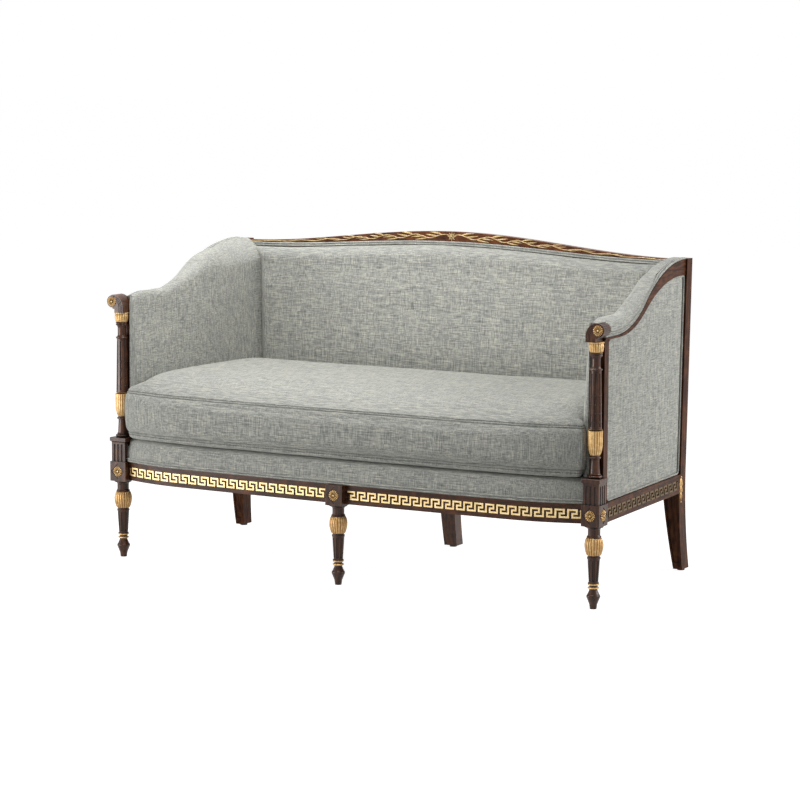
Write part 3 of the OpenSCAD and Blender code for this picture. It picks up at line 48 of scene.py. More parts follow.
# Curves shared with the solids, in mm and degrees
form = dict(
    legX=710.0, frontY=-266.6, stileDeep=48.4, railTop=265.0, plinthTop=317.0, capTop=331.0, deckTop=328.0,
    bowDepth=56.0, bowFlat=500.0, bowFlatR=15000.0, bowEndR=511.0,  # front rail
    sideFrontX=729.0, sideFrontY=-241.6, sideAngle=2.686, sideRailT=32.4, rearX=705.0,  # sides
    postFrontY=279.2, backLean=2.2, postTop=838.0,  # back posts
    armFrontZ=679.5, armTurn=37.0, hollowY=-169.6, hollowR=316.0, crownR=437.0, armStraight=8.0,  # arm strip
    stripT=5.0, lowTurn=30.5, lowHollowY=-150.6, lowHollowR=315.0, lowCrownR=453.0, lowStraight=30.0,
    armFrontT=58.0, armBackT=116.0, armRun=500.0, flare=0.055, flareZ=500.0,  # padding of the arms
    ridgeY=-104.6, ridgeFrontZ=727.0,
    crestHalf=663.0, crestEndZ=836.0, crestEndT=5.0, crestRise=47.0, crestWide=680.0,  # crest rail
    crestLowRise=25.0, crestLowWide=630.0,
    gap=0.4, welt=5.6, weltGap=0.1, weltIn=3.2, weltUp=0.6, weltTurnY=58.4, weltTurnRun=110.0,
)


def sinD(a):
    return sin(radians(a))


def cosD(a):
    return cos(radians(a))


def tanD(a):
    return tan(radians(a))


def clamp(v):
    return max(0.0, min(1.0, v))


def ease(v):
    v = clamp(v)
    return v * v * (3 - 2 * v)


def bowY(x, out=0.0):
    flat = min(abs(x), form["bowFlat"])
    end = max(0.0, abs(x) - form["bowFlat"])
    curve = flat ** 2 / (2 * form["bowFlatR"]) + end * form["bowFlat"] / form["bowFlatR"]
    return form["frontY"] - form["bowDepth"] - out + curve + end ** 2 / (2 * form["bowEndR"])


def sideX(y, inset=0.0):
    return form["sideFrontX"] - (y - form["sideFrontY"]) * tanD(form["sideAngle"]) - inset


def postFace(z):
    return form["postFrontY"] + (z - form["railTop"]) * tanD(form["backLean"])


# Middle of the crown arc of an arm's line, as y and z
def crownPoint(y, z, turn, hollow, crown, straight):
    return (y + (hollow + crown) * sinD(turn) + straight * cosD(turn),
            z + hollow - (hollow + crown) * cosD(turn) + straight * sinD(turn))


lowFrontZ = form["armFrontZ"] - form["stripT"]
crownY, crownZ = crownPoint(form["hollowY"], form["armFrontZ"], form["armTurn"], form["hollowR"],
                            form["crownR"], form["armStraight"])
lowCrownY, lowCrownZ = crownPoint(form["lowHollowY"], lowFrontZ, form["lowTurn"], form["lowHollowR"],
                                  form["lowCrownR"], form["lowStraight"])


# Edge that is level, turns up by a hollow arc, runs straight and comes level again over a crown
def swanLine(y, z, start, turn, hollow, hollowMid, crown, endY, endZ, past):
    if y < start:
        return z + hollowMid - hollow
    if y < start + hollow * sinD(turn):
        return z + hollowMid - sqrt(hollow ** 2 - (y - start) ** 2)
    if y < endY - crown * sinD(turn):
        return z + hollowMid - hollow * cosD(turn) + (y - start - hollow * sinD(turn)) * tanD(turn)
    return endZ + sqrt(crown ** 2 - (min(y, endY + past) - endY) ** 2)


def armTop(y, out=0.0):
    return swanLine(y, form["armFrontZ"], form["hollowY"], form["armTurn"], form["hollowR"] - out,
                    form["hollowR"], form["crownR"] + out, crownY, crownZ, 60)


def armLow(y, out=0.0):
    return swanLine(y, lowFrontZ, form["lowHollowY"], form["lowTurn"], form["lowHollowR"] + out,
                    form["lowHollowR"], form["lowCrownR"] - out, lowCrownY, lowCrownZ, 0)


def hump(x, half):
    return (1 + cosD(180 * min(1, abs(x) / half))) / 2


def crestTop(x):
    return form["crestEndZ"] + form["crestRise"] * hump(x, form["crestWide"])


def crestLow(x):
    return form["crestEndZ"] - form["crestEndT"] + form["crestLowRise"] * hump(x, form["crestLowWide"])


def armT(y):
    u = clamp((y - form["frontY"]) / form["armRun"])
    return form["armFrontT"] + (form["armBackT"] - form["armFrontT"]) * (u / 3 + 2 * u ** 5 / 3)


def innerX(y, z):
    return sideX(y) - armT(y) + form["flare"] * max(0, z - form["flareZ"])


def ridgeLine(y):
    u = clamp((y - form["ridgeY"]) / (postFace(form["postTop"]) - form["ridgeY"]))
    return form["ridgeFrontZ"] + (form["postTop"] - form["ridgeFrontZ"]) * sinD(90 * u) ** 1.3


# Place beside the arm's welts, as inset and height over the strip; further back the upper one lies inside
def byWelt(y, k, along=0.0, out=0.0):
    a = 90 * (1 - ease((y - form["weltTurnY"]) / form["weltTurnRun"]))
    d = k * (form["welt"] + form["weltGap"]) + along
    return (form["weltIn"] + form["welt"] / 2 + d * cosD(a) - out * sinD(a),
            form["weltUp"] + form["welt"] / 2 + d * sinD(a) + out * cosD(a))


def spread(a, b, n):
    return [a + (b - a) * i / n for i in range(n + 1)]


def addMesh(name, verts, faces, finish, slot="linen", sharp=None):
    mesh = bpy.data.meshes.new(name)
    mesh.from_pydata([tuple(v) for v in verts], [], [tuple(f) for f in faces])
    mesh.validate()
    mesh.polygons.foreach_set("use_smooth", [True] * len(mesh.polygons))
    if sharp:
        mesh.set_sharp_from_angle(angle=radians(sharp))
    made = bpy.data.objects.new(name, mesh)
    bpy.context.scene.collection.objects.link(made)
    mesh.materials.append(finish)
    return made


# Skin over rings of equal length, given in mm; a closed one has a cap at each end
def skin(rings, closed=True, start=0):
    verts = [Vector(p) * mm for ring in rings for p in ring]
    n, faces = len(rings[0]), []
    for j in range(len(rings) - 1):
        for i in range(n if closed else n - 1):
            a, b = j * n + i, j * n + (i + 1) % n
            faces.append((a + start, b + start, b + n + start, a + n + start))
    if closed:
        last = start + (len(rings) - 1) * n
        faces += [tuple(range(start, start + n))[::-1], tuple(range(last, last + n))]
    return verts, faces


# Several skins as one mesh
def skins(ringSets):
    verts, faces = [], []
    for rings in ringSets:
        v, f = skin(rings, start=len(verts))
        verts += v
        faces += f
    return verts, faces


# Round cord along points in mm; with slack its thickness wavers
def cordRings(path, radius, slack, corners=12):
    pts = [Vector(p) for p in path]
    rings, side = [], None
    for k, p in enumerate(pts):
        ahead = (pts[min(k + 1, len(pts) - 1)] - pts[max(k - 1, 0)]).normalized()
        if side is None:
            side = ahead.orthogonal().normalized()
        side = (side - ahead * side.dot(ahead)).normalized()
        up = ahead.cross(side)
        r = radius * (1 + slack * noise.noise(p * 0.06))
        rings.append([p + r * (cos(t) * side + sin(t) * up)
                      for t in (2 * pi * i / corners for i in range(corners))])
    return rings


def cords(name, paths, radius, finish, slack, slot="linen"):
    return addMesh(name, *skins([cordRings(path, radius, slack) for path in paths]), finish, slot)


# Rings or paths turned over to the other hand
def mirrored(rings):
    return [[(-p[0], p[1], p[2]) for p in ring] for ring in rings]


# Even spacing along a broken line, in mm
def resample(path, step):
    pts = [np.array(p, float) for p in path]
    run = [0.0]
    for a, b in zip(pts, pts[1:]):
        run.append(run[-1] + float(np.linalg.norm(b - a)))
    n = max(2, int(round(run[-1] / step)))
    at = np.linspace(0, run[-1], n + 1)
    cols = [np.interp(at, run, [p[k] for p in pts]) for k in range(len(pts[0]))]
    return [tuple(float(c[i]) for c in cols) for i in range(n + 1)]


# A node's socket that takes plus, minus and times
class Field:
    def __init__(self, shader, socket):
        self.shader = shader
        self.socket = socket

    def maths(self, kind, *values, clamped=False):
        return self.shader.node("Math", dict(operation=kind, use_clamp=clamped), values)

    def __add__(self, other):
        return self.maths("ADD", self, other)

    def __radd__(self, other):
        return self.maths("ADD", other, self)

    def __sub__(self, other):
        return self.maths("SUBTRACT", self, other)

    def __rsub__(self, other):
        return self.maths("SUBTRACT", other, self)

    def __mul__(self, other):
        return self.maths("MULTIPLY", self, other)

    def __rmul__(self, other):
        return self.maths("MULTIPLY", other, self)

    def size(self):
        return self.maths("ABSOLUTE", self)

    def held(self):
        return self.maths("MULTIPLY", self, 1.0, clamped=True)


# A node tree that is built by calls
class Graph:
    def __init__(self, tree):
        self.tree = tree

    def node(self, kind, settings=(), values=(), out=0):
        made = self.tree.nodes.new("ShaderNode" + kind)
        for key, value in dict(settings).items():
            setattr(made, key, value)
        for key, value in values.items() if isinstance(values, dict) else enumerate(values):
            self.join(made.inputs[key], value)
        return Field(self, made.outputs[out]) if len(made.outputs) else made

    def join(self, socket, value):
        if isinstance(value, Field):
            self.tree.links.new(value.socket, socket)
        elif socket.type == "RGBA" and len(value) == 3:
            socket.default_value = (*value, 1.0)
        else:
            socket.default_value = value

    # Rays from the camera, off gloss and through glass, which all see the pale background
    def openRay(self):
        seen = [self.node("LightPath", out=name)
                for name in ("Is Camera Ray", "Is Glossy Ray", "Is Transmission Ray")]
        return seen[0].maths("MAXIMUM", seen[0].maths("MAXIMUM", seen[0], seen[1]), seen[2])


class Shader(Graph):
    def __init__(self, name, **fixed):
        self.material = bpy.data.materials.new(name)
        self.material.use_nodes = True
        super().__init__(self.material.node_tree)
        self.surface = self.tree.nodes["Principled BSDF"]
        for key, value in fixed.items():
            self.surface.inputs[key.replace("_", " ")].default_value = value
        self.point = self.node("TexCoord", out="Object")
        self.facing = self.node("TexCoord", out="Normal")

    def scaled(self, vector, sizes):
        return self.node("VectorMath", dict(operation="MULTIPLY"), [vector, sizes])

    # Noise in patches of the given sizes, in mm
    def grain(self, sizes, detail=2.0, rough=0.5):
        at = self.scaled(self.point, tuple(1000.0 / s for s in sizes))
        return self.node("TexNoise", {}, {"Vector": at, "Scale": 1.0, "Detail": detail, "Roughness": rough})

    # Yarns side by side along one axis, each with its own broken tone
    def yarns(self, along, wide, long):
        sizes, steps, apart = [1000.0 / wide] * 3, [1.0] * 3, [7.618] * 3
        sizes[along], steps[along], apart[along] = 1000.0 / long, 0.02, 1.0
        at = self.node("VectorMath", dict(operation="SNAP"),
                       [self.scaled(self.point, tuple(sizes)), tuple(steps)])
        at = self.scaled(at, tuple(apart))
        return self.node("TexNoise", {}, {"Vector": at, "Scale": 1.0, "Detail": 0.0})

    def parts(self, vector):
        return [self.node("SeparateXYZ", {}, [vector], out=k) for k in range(3)]

    def step(self, value, low, high):
        return self.node("MapRange", dict(interpolation_type="SMOOTHSTEP"),
                         {"Value": value, "From Min": low, "From Max": high})

    def mix(self, share, one, other):
        return self.node("Mix", dict(data_type="RGBA"), {0: share, 6: one, 7: other}, out=2)

    def bump(self, height, distance, strength, under=None):
        values = {"Height": height, "Distance": distance, "Strength": strength}
        if under:
            values["Normal"] = under
        return self.node("Bump", {}, values)

    # How deep a point lies in a groove or corner: 0 in the open, 1 deep inside
    def hollow(self, reach, low, high):
        clear = self.node("AmbientOcclusion", dict(samples=8, only_local=True),
                          {"Distance": reach * mm}, out=1)
        return self.step(clear, high, low)

    def softEdge(self, radius):
        return self.node("Bevel", dict(samples=4), {"Radius": radius * mm})

    # Share of an edge in a point, from how far the rounded edge turns away from the flat face
    def edge(self, radius, low, high):
        turn = self.node("VectorMath", dict(operation="DOT_PRODUCT"),
                         [self.softEdge(radius), self.facing], out=1)
        return self.step(turn, high, low)

    def feed(self, **inputs):
        for key, value in inputs.items():
            self.join(self.surface.inputs[key.replace("_", " ")], value)
        return self.material


# Yarn lengths and widths in mm; light and dark shares set how far yarns stand out; the seam colour is
# painted shade, laid on the cords beside the cushion's seams
linenLook = dict(
    body=(0.340, 0.341, 0.312), cool=(0.305, 0.315, 0.300), light=(0.66, 0.64, 0.54),
    dark=(0.105, 0.118, 0.114), seam=(0.03, 0.035, 0.032), slub=1.1, slubLong=30.0, slubWide=1.4,
    thread=0.8, threadLong=11.0, threadWide=0.85, lightShare=1.35, darkShare=1.4, sheen=0.18,
    sheenTint=(0.93, 0.95, 0.9, 1), cloud=(60, 60, 60), cloudShare=0.8,
)


# Slub linen: light and dark yarns run both ways in short streaks, always across the face they lie on
def linenFinish(name, look, shade=0.0):
    s = Shader(name, Roughness=0.92, Sheen_Weight=look["sheen"], Sheen_Roughness=0.5,
               Specular_IOR_Level=0.2)
    s.surface.inputs["Sheen Tint"].default_value = look["sheenTint"]
    away = [1 - part.size() for part in s.parts(s.facing)]
    tone = None
    for k in range(3):
        yarn = (s.yarns(k, look["slubWide"], look["slubLong"]) - 0.5) * look["slub"] \
            + (s.yarns(k, look["threadWide"], look["threadLong"]) - 0.5) * look["thread"]
        tone = yarn * away[k] if tone is None else tone + yarn * away[k]
    cloudy = (s.grain(look["cloud"]) * look["cloudShare"]).held()
    base = s.mix(cloudy, look["body"], look["cool"])
    colour = s.mix((tone * look["lightShare"]).held(), base, look["light"])
    colour = s.mix((tone * -look["darkShare"]).held(), colour, look["dark"])
    # painted shade: a share of the cloth is turned to the dark seam colour
    if shade:
        colour = s.mix(shade, colour, look["seam"])
    return s.feed(Base_Color=colour, Normal=s.bump(tone, 0.0006, 0.4))


# Sizes in mm: figure and pores run long with the grain and narrow across it; worn is the pale edge colour,
# part wear and part painted highlight, and the groove colour is painted shade
woodLook = dict(
    deep=(0.028, 0.0100, 0.0052), body=(0.088, 0.0350, 0.0165), warm=(0.170, 0.054, 0.0180),
    worn=(0.21, 0.100, 0.054), grooveShade=(0.006, 0.0028, 0.002), figure=90.0, figureWide=7.0, pore=14.0,
    poreWide=0.75, ribbon=(26.0, 26.0, 26.0),
)
flatWoodLook = dict(
    woodLook, deep=(0.030, 0.0095, 0.0045), body=(0.098, 0.0380, 0.0170), warm=(0.170, 0.055, 0.0190),
    worn=(0.16, 0.072, 0.036),
)


# Polished mahogany: the grain runs along one axis, edges are painted paler, part wear and part painted
# highlight, and grooves are darkened with painted shade
def woodFinish(name, along, look, glow=0.45, gloss=0.16):
    s = Shader(name, Specular_IOR_Level=gloss, Coat_Weight=gloss * 0.6, Coat_Roughness=0.1, Coat_IOR=1.45)
    wide, fine = [look["figureWide"]] * 3, [look["poreWide"]] * 3
    wide[along], fine[along] = look["figure"], look["pore"]
    figure = s.grain(wide, detail=3.0, rough=0.6)
    pores = s.grain(fine, detail=2.0)
    ribbon = s.grain(look["ribbon"], detail=1.0)
    colour = s.mix(s.step(figure, 0.36, 0.68), look["deep"], look["body"])
    colour = s.mix((s.step(ribbon, 0.75 - glow * 0.6, 0.8) * glow).held(), colour, look["warm"])
    colour = s.mix(s.step(pores, 0.58, 0.74) * 0.55, colour, look["deep"])
    # painted highlight and wear: rounded edges turn paler
    colour = s.mix(s.edge(1.3, 0.86, 0.99) * 0.42, colour, look["worn"])
    # painted shade: grooves and corners turn nearly black
    colour = s.mix(s.hollow(7.0, 0.60, 0.96) * 0.92, colour, look["grooveShade"])
    return s.feed(Base_Color=colour, Roughness=0.26 + pores * 0.16,
                  Normal=s.bump(pores * -0.5 + figure * 0.25, 0.0005, 0.35, s.softEdge(0.9)))


# deep is the colour of the hollows: patina and painted shade
giltLook = dict(
    leaf=(0.49, 0.295, 0.112), pale=(0.70, 0.49, 0.23),
    bole=(0.19, 0.075, 0.026), deep=(0.035, 0.017, 0.007),
)
crestLook = dict(
    leaf=(0.44, 0.315, 0.150), pale=(0.62, 0.48, 0.26),
    bole=(0.15, 0.065, 0.026), deep=(0.030, 0.015, 0.007),
)
sideKeyLook = dict(
    leaf=(0.100, 0.064, 0.024), pale=(0.150, 0.098, 0.040),
    bole=(0.050, 0.022, 0.010), deep=(0.018, 0.009, 0.005),
)
keyLook = dict(
    leaf=(0.70, 0.51, 0.235), pale=(0.84, 0.68, 0.39),
    bole=(0.30, 0.15, 0.06), deep=(0.060, 0.032, 0.014),
)


# Gold leaf over bole: dark in the hollows with patina and painted shade, rubbed on the ridges
def giltFinish(name, look, worn=0.25, dull=0.0):
    s = Shader(name, Metallic=0.72, Specular_IOR_Level=0.4)
    patches = s.grain((9.0, 9.0, 9.0), detail=4.0, rough=0.65)
    flecks = s.grain((1.6, 1.6, 1.6), detail=3.0, rough=0.7)
    hollow = s.hollow(3.4, 0.48, 0.93)
    leaf = s.mix(s.step(patches, 0.42, 0.70), look["leaf"], look["pale"])
    bright = s.mix(s.edge(0.7, 0.88, 0.99) * 0.5, leaf, look["pale"])
    rubbed = s.mix(s.step(flecks, 0.62 - worn * 0.25, 0.78) * (0.35 + worn), bright, look["bole"])
    # patina and painted shade: hollows turn to the deep colour
    shaded = s.mix(hollow * 0.92, rubbed, look["deep"])
    colour = s.mix(dull, shaded, look["bole"]) if dull else shaded
    return s.feed(Base_Color=colour, Roughness=0.36 + patches * 0.2 + hollow * 0.2,
                  Normal=s.bump(flecks * 0.5 + patches, 0.0006, 0.3, s.softEdge(0.5)))


# Raw timber of the hidden frame pieces
def rawWoodFinish():
    s = Shader("beech", Specular_IOR_Level=0.3)
    figure = s.grain((60.0, 5.0, 5.0), detail=3.0)
    flecks = s.grain((4.0, 0.9, 0.9), detail=1.0)
    colour = s.mix(s.step(figure, 0.35, 0.7), (0.46, 0.29, 0.15), (0.62, 0.43, 0.25))
    colour = s.mix(s.step(flecks, 0.6, 0.75) * 0.5, colour, (0.33, 0.19, 0.09))
    return s.feed(Base_Color=colour, Roughness=0.5 + figure * 0.2, Normal=s.bump(figure, 0.0004, 0.3))


# One plain stuff with a broken tone and a little relief
def plainFinish(name, one, other, rough, grain, relief, **fixed):
    s = Shader(name, **fixed)
    speck = s.grain(grain, detail=3.0)
    return s.feed(Base_Color=s.mix(s.step(speck, 0.35, 0.65), one, other),
                  Roughness=rough + speck * 0.15, Normal=s.bump(speck, relief, 0.5))


linen = linenFinish("linen", linenLook)
# Linen darkened as painted shade, for the cords beside the cushion's seams
seamLinen = linenFinish("seamLinen", linenLook, 0.62)
woodX = woodFinish("mahoganyAcross", 0, woodLook)
woodY = woodFinish("mahoganyDeep", 1, flatWoodLook, gloss=0.04)
woodZ = woodFinish("mahoganyUpright", 2, woodLook, gloss=0.22)
woodFlat = woodFinish("mahoganyFlat", 2, flatWoodLook, gloss=0.04)
woodCrest = woodFinish("mahoganyCrest", 0, woodLook, 0.95, gloss=0.06)
gilt = giltFinish("gilt", giltLook)
keyGilt = giltFinish("keyGilt", keyLook)
legGilt = giltFinish("legGilt", giltLook, dull=0.27)
crestGilt = giltFinish("crestGilt", crestLook, dull=0.12)
oldGilt = giltFinish("oldGilt", sideKeyLook, worn=0.4)
beech = rawWoodFinish()
steel = plainFinish("steel", (0.30, 0.31, 0.33), (0.42, 0.43, 0.45), 0.32, (3.0, 3.0, 3.0), 0.0002,
                    Metallic=1.0)
felt = plainFinish("felt", (0.58, 0.57, 0.50), (0.70, 0.69, 0.63), 0.85, (1.5, 1.5, 1.5), 0.001)
black = plainFinish("black", (0.010, 0.010, 0.011), (0.022, 0.022, 0.023), 0.62, (1.2, 1.2, 1.2), 0.0004)
jute = plainFinish("jute", (0.30, 0.20, 0.10), (0.46, 0.34, 0.19), 0.85, (1.0, 3.0, 1.0), 0.001)
print("finishes made")

slotFinish = dict(beech=beech, steel=steel, felt=felt, black=black, jute=jute, linen=linen, gilt=gilt,
                  old_gilt=oldGilt)
nodeFinish = dict(front_rail=woodX, back_rail=woodX, crest_rail=woodCrest)
for hand, side in sides:
    nodeFinish["fret_front_" + hand] = keyGilt
    nodeFinish["front_stile_" + hand] = nodeFinish["rear_leg_" + hand] = woodFlat
    nodeFinish["side_rail_" + hand] = nodeFinish["arm_rail_" + hand] = woodY
for part in frame["record"]["subparts"]:
    name, slot = part["node"], part["material_slot"]
    mesh = nodes[name].data
    mesh.materials.clear()
    mesh.materials.append(nodeFinish.get(name, slotFinish.get(slot, woodZ)))


# Uneven hand of the upholsterer: a slow swell over the skin, in mm
def handmade(made, swell, length, seed):
    mesh = made.data
    mesh.update()
    shift = Vector((seed, seed * 1.7, -seed))
    normals = [v.normal.copy() for v in mesh.vertices]
    for v, n in zip(mesh.vertices, normals):
        at = v.co / mm / length + shift
        v.co += n * (swell * mm * (noise.noise(at) + 0.5 * noise.noise(at * 2.3)))
    mesh.update()


# A seam draws the skin in along a path and leaves small puckers beside it
def pinch(made, paths, depth, reach, pucker=0.0, every=16.0):
    mesh = made.data
    mesh.update()
    points = [Vector(p) * mm for path in paths for p in path]
    tree = KDTree(len(points))
    for k, p in enumerate(points):
        tree.insert(p, k)
    tree.balance()
    normals = [v.normal.copy() for v in mesh.vertices]
    for v, n in zip(mesh.vertices, normals):
        near, k, far = tree.find(v.co)
        far /= mm
        if far > 4.5 * reach:
            continue
        fold = noise.noise(near / mm / every) * pucker * exp(-(far / (2.2 * reach)) ** 2)
        v.co -= n * mm * (depth * exp(-(far / reach) ** 2) + fold)
    mesh.update()


# Crown is the rise above the top seam, out is how far the cushion stands before the bowed rail
cushionLook = dict(
    crown=53.0, reach=84.0, reachLost=44.0, shoulder=14.0, bottomZ=328.4, bottomSeam=345.5, topSeam=459.4,
    out=9.0, cornerR=5.0, padT=48.0, rearGap=2.0,
    ear=689.6, earLow=683.2, earFrom=590.0, earForward=6.0, earWrap=2.5, wrapFrom=655.0, wrapRun=30.0,
    columnR=19.9, columnBack=4.0,  # room kept round the columns
    cell=6.0, pressure=3.0, frames=14, cap=3.2, shrink=1.0,  # cloth
    seamR=1.8, seamDepth=2.4, seamReach=4.0, besideDepth=1.6, besideReach=11.0, pucker=1.0,
    # the stitch cords are dark cords beside the seams that paint the shade of the seam grooves
    creaseDepth=4.0, creaseReach=3.0, seamShadeR=0.85, seamShadeOff=2.6, wavy=0.3, swell=1.2,
)
crease = [(686, -262, 474), (679, -254, 486), (668, -246, 494)]  # small fold in the top beside a column
cushionBack = postFace(form["deckTop"]) - cushionLook["padT"] - cushionLook["rearGap"]


# Half width of the cushion: its ears stand beside the columns, and stay off the plinth caps below
def cushionSide(y, z=400.0):
    ear = cushionLook["ear"] if z > form["capTop"] + 2 else cushionLook["earLow"]
    return ear if y < form["frontY"] + cushionLook["columnBack"] else innerX(y, cushionLook["bottomZ"]) - 1.6


# Front of the cushion: it follows the bow, and its corners come forward in front of the columns
def cushionFront(x):
    look = cushionLook
    u = (abs(x) - look["earFrom"]) / (look["ear"] - look["earFrom"])
    return bowY(x, look["out"] + look["earForward"] * ease(u))


# Plan outline at a height from the front left corner, counter-clockwise, drawn in by an inset
def cushionPlan(inset, z=400.0):
    turn, back = cushionLook["cornerR"], cushionBack - inset
    ear = cushionSide(form["frontY"], z) - inset
    y1 = cushionFront(ear) + turn + inset
    y2, y3 = form["frontY"] + 0.5, form["frontY"] + 4.1
    side = [(ear, y1), (ear, y2)]
    side += [(cushionSide(y) - inset, y) for y in spread(y3, back - 10, 30)]
    front = [(u * (ear - turn), cushionFront(u * (ear - turn)) + inset) for u in spread(-1, 1, 60)]
    half = cushionSide(back) - inset - 10
    rear = [(x, back) for x in spread(half, -half, 30)]
    return front + side + rear + [(-x, y) for x, y in reversed(side)]


def softRise(d, reach):
    return 1 - exp(-max(0.0, d) / reach)


# The crown rises slowly from the front in the middle, and faster towards the ends
def cushionTop(x, y):
    look = cushionLook
    reach = look["reach"] - look["reachLost"] * (x / look["ear"]) ** 2
    return look["topSeam"] + look["crown"] * softRise(y - cushionFront(x), reach) \
        * softRise(cushionSide(y) - abs(x), look["shoulder"]) * softRise(cushionBack - y, look["shoulder"])


def buildCushion(look, shrink):
    low, high = look["bottomSeam"], look["topSeam"]
    profile = [(16, look["bottomZ"]), (5, look["bottomZ"] + 2.5), (2, low - 5), (3.4, low),
               (1.2, low + 8), (0.2, low + 30), (-0.6, (low + high) / 2), (0.2, high - 30),
               (1.4, high - 9), (3.0, high)]
    midY = (cushionBack + form["frontY"] - form["bowDepth"]) / 2
    rings = [[(x, y, z) for x, y in cushionPlan(inset + shrink, z)] for inset, z in profile]
    rim = cushionPlan(3.0 + shrink)
    for s in [0.992, 0.975, 0.95, 0.92, 0.88, 0.83, 0.77, 0.7, 0.62, 0.53, 0.43, 0.32, 0.2, 0.08]:
        ring = []
        for px, py in rim:
            x, y = px * s, midY + (py - midY) * s
            ring.append((x, y, cushionTop(x, y) - shrink * 0.5))
        rings.append(ring)
    return addMesh("cushion_cover", *skin(rings), linen)


# Where a point of the cushion comes to lie: its ears wrap the columns, and it stays off its neighbours
def besideColumn(x, y, z):
    look, side = cushionLook, copysign(1.0, x)
    x = abs(x)
    wrap = ease((form["frontY"] - 15 - y) / 9) * ease((x - look["wrapFrom"]) / look["wrapRun"])
    wrap *= ease((z - form["capTop"] - 2) / 10)
    x += look["earWrap"] * wrap
    away = hypot(x - form["legX"], y - form["frontY"])
    if z > form["capTop"] + 0.5 and away < look["columnR"]:
        share = look["columnR"] / max(away, 0.001)
        x = form["legX"] + (x - form["legX"]) * share
        y = form["frontY"] + (y - form["frontY"]) * share
    if z <= form["capTop"] + 1.2 and y < form["frontY"] + 25:
        x = min(x, look["earLow"] + 0.6)
    if y > form["frontY"] + look["columnBack"]:
        x = min(x, innerX(y, z) - 0.6)
    return side * x, min(y, cushionBack + 1.4), max(z, look["bottomZ"] - 0.1)


def settleCushion(made):
    for v in made.data.vertices:
        v.co = Vector(besideColumn(*(v.co / mm))) * mm
    made.data.update()


def applyModifiers(made):
    bpy.context.view_layer.update()
    shown = made.evaluated_get(bpy.context.evaluated_depsgraph_get())
    mesh = bpy.data.meshes.new_from_object(shown)
    made.modifiers.clear()
    old = made.data
    made.data = mesh
    mesh.name = old.name
    bpy.data.meshes.remove(old)
    mesh.polygons.foreach_set("use_smooth", [True] * len(mesh.polygons))


# Even quads over the piece
def remesh(made, cell):
    turn = made.modifiers.new("even", "REMESH")
    turn.mode = "VOXEL"
    turn.voxel_size = cell * mm
    turn.use_smooth_shade = True
    applyModifiers(made)


clothLook = dict(
    quality=4, mass=0.3, tension_stiffness=18, compression_stiffness=18, shear_stiffness=8,
    bending_stiffness=2.0, use_pressure=True,
)


# A short inflation of the piece's cloth, with every point's move capped
def inflate(made, pressure, frames, cap):
    mesh = made.data
    start = np.zeros(len(mesh.vertices) * 3)
    mesh.vertices.foreach_get("co", start)
    cloth = made.modifiers.new("cloth", "CLOTH")
    for key, value in clothLook.items():
        setattr(cloth.settings, key, value)
    cloth.settings.uniform_pressure_force = pressure
    cloth.settings.effector_weights.gravity = 0
    cloth.collision_settings.use_collision = False
    scene = bpy.context.scene
    cloth.point_cache.frame_start = 1
    cloth.point_cache.frame_end = frames
    for f in range(1, frames + 1):
        scene.frame_set(f)
    applyModifiers(made)
    scene.frame_set(1)
    end = np.zeros(len(start))
    made.data.vertices.foreach_get("co", end)
    move = (end - start).reshape(-1, 3)
    far = np.linalg.norm(move, axis=1, keepdims=True)
    limit = cap * mm
    held = np.where(far > 1e-9, limit * np.tanh(far / limit) / np.maximum(far, 1e-9), 0)
    made.data.vertices.foreach_set("co", (start.reshape(-1, 3) + move * held).ravel())
    made.data.update()


def subdivide(made):
    turn = made.modifiers.new("fine", "SUBSURF")
    turn.levels = turn.render_levels = 1
    applyModifiers(made)


# Points of a path moved onto the skin of a piece, and sunk into it a little
def laidOn(made, path, sink=0.0):
    tree = BVHTree.FromObject(made, bpy.context.evaluated_depsgraph_get())
    laid = []
    for p in path:
        near, normal = tree.find_nearest(Vector(p) * mm)[:2]
        laid.append(tuple((near - normal * sink * mm) / mm))
    return laid


# Seam round the cushion at a height, lying on its skin
def seamPath(z, inset):
    path = [besideColumn(x, y, z) for x, y in cushionPlan(inset)]
    return laidOn(cushion, resample(path + path[:2], 4))


cushion = buildCushion(cushionLook, cushionLook["shrink"])
remesh(cushion, cushionLook["cell"])
inflate(cushion, cushionLook["pressure"], cushionLook["frames"], cushionLook["cap"])
subdivide(cushion)
settleCushion(cushion)
topSeam = seamPath(cushionLook["topSeam"], 2.6)
lowSeam = seamPath(cushionLook["bottomSeam"], 3.0)
creases = [resample(path, 2) for path in mirrored([crease]) + [crease]]
pinch(cushion, creases, cushionLook["creaseDepth"], cushionLook["creaseReach"])
pinch(cushion, [topSeam, lowSeam], cushionLook["seamDepth"], cushionLook["seamReach"], cushionLook["pucker"])
pinch(cushion, [topSeam, lowSeam], cushionLook["besideDepth"], cushionLook["besideReach"])
handmade(cushion, cushionLook["swell"], 150.0, 3.0)
settleCushion(cushion)
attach(cushion, "cushion")
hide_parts("seat_cushion")
seams = cords("cushion_seams", [laidOn(cushion, topSeam, -0.3), laidOn(cushion, lowSeam, -0.3)],
              cushionLook["seamR"], linen, cushionLook["wavy"])
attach(seams, "cushion")
# Dark cords beside each seam paint the shade of the seam grooves; they are no sewing thread
seamShadePaths = []
off = cushionLook["seamShadeOff"]
for path, rise in ((topSeam, off), (topSeam, -off), (lowSeam, off), (lowSeam, -off - 0.2)):
    seamShadePaths.append(laidOn(cushion, [(x, y, z + rise) for x, y, z in path], 0.35))
thread = cords("cushion_seam_shade", seamShadePaths, cushionLook["seamShadeR"], seamLinen, cushionLook["wavy"])
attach(thread, "cushion")
print("cushion made", len(cushion.data.vertices))

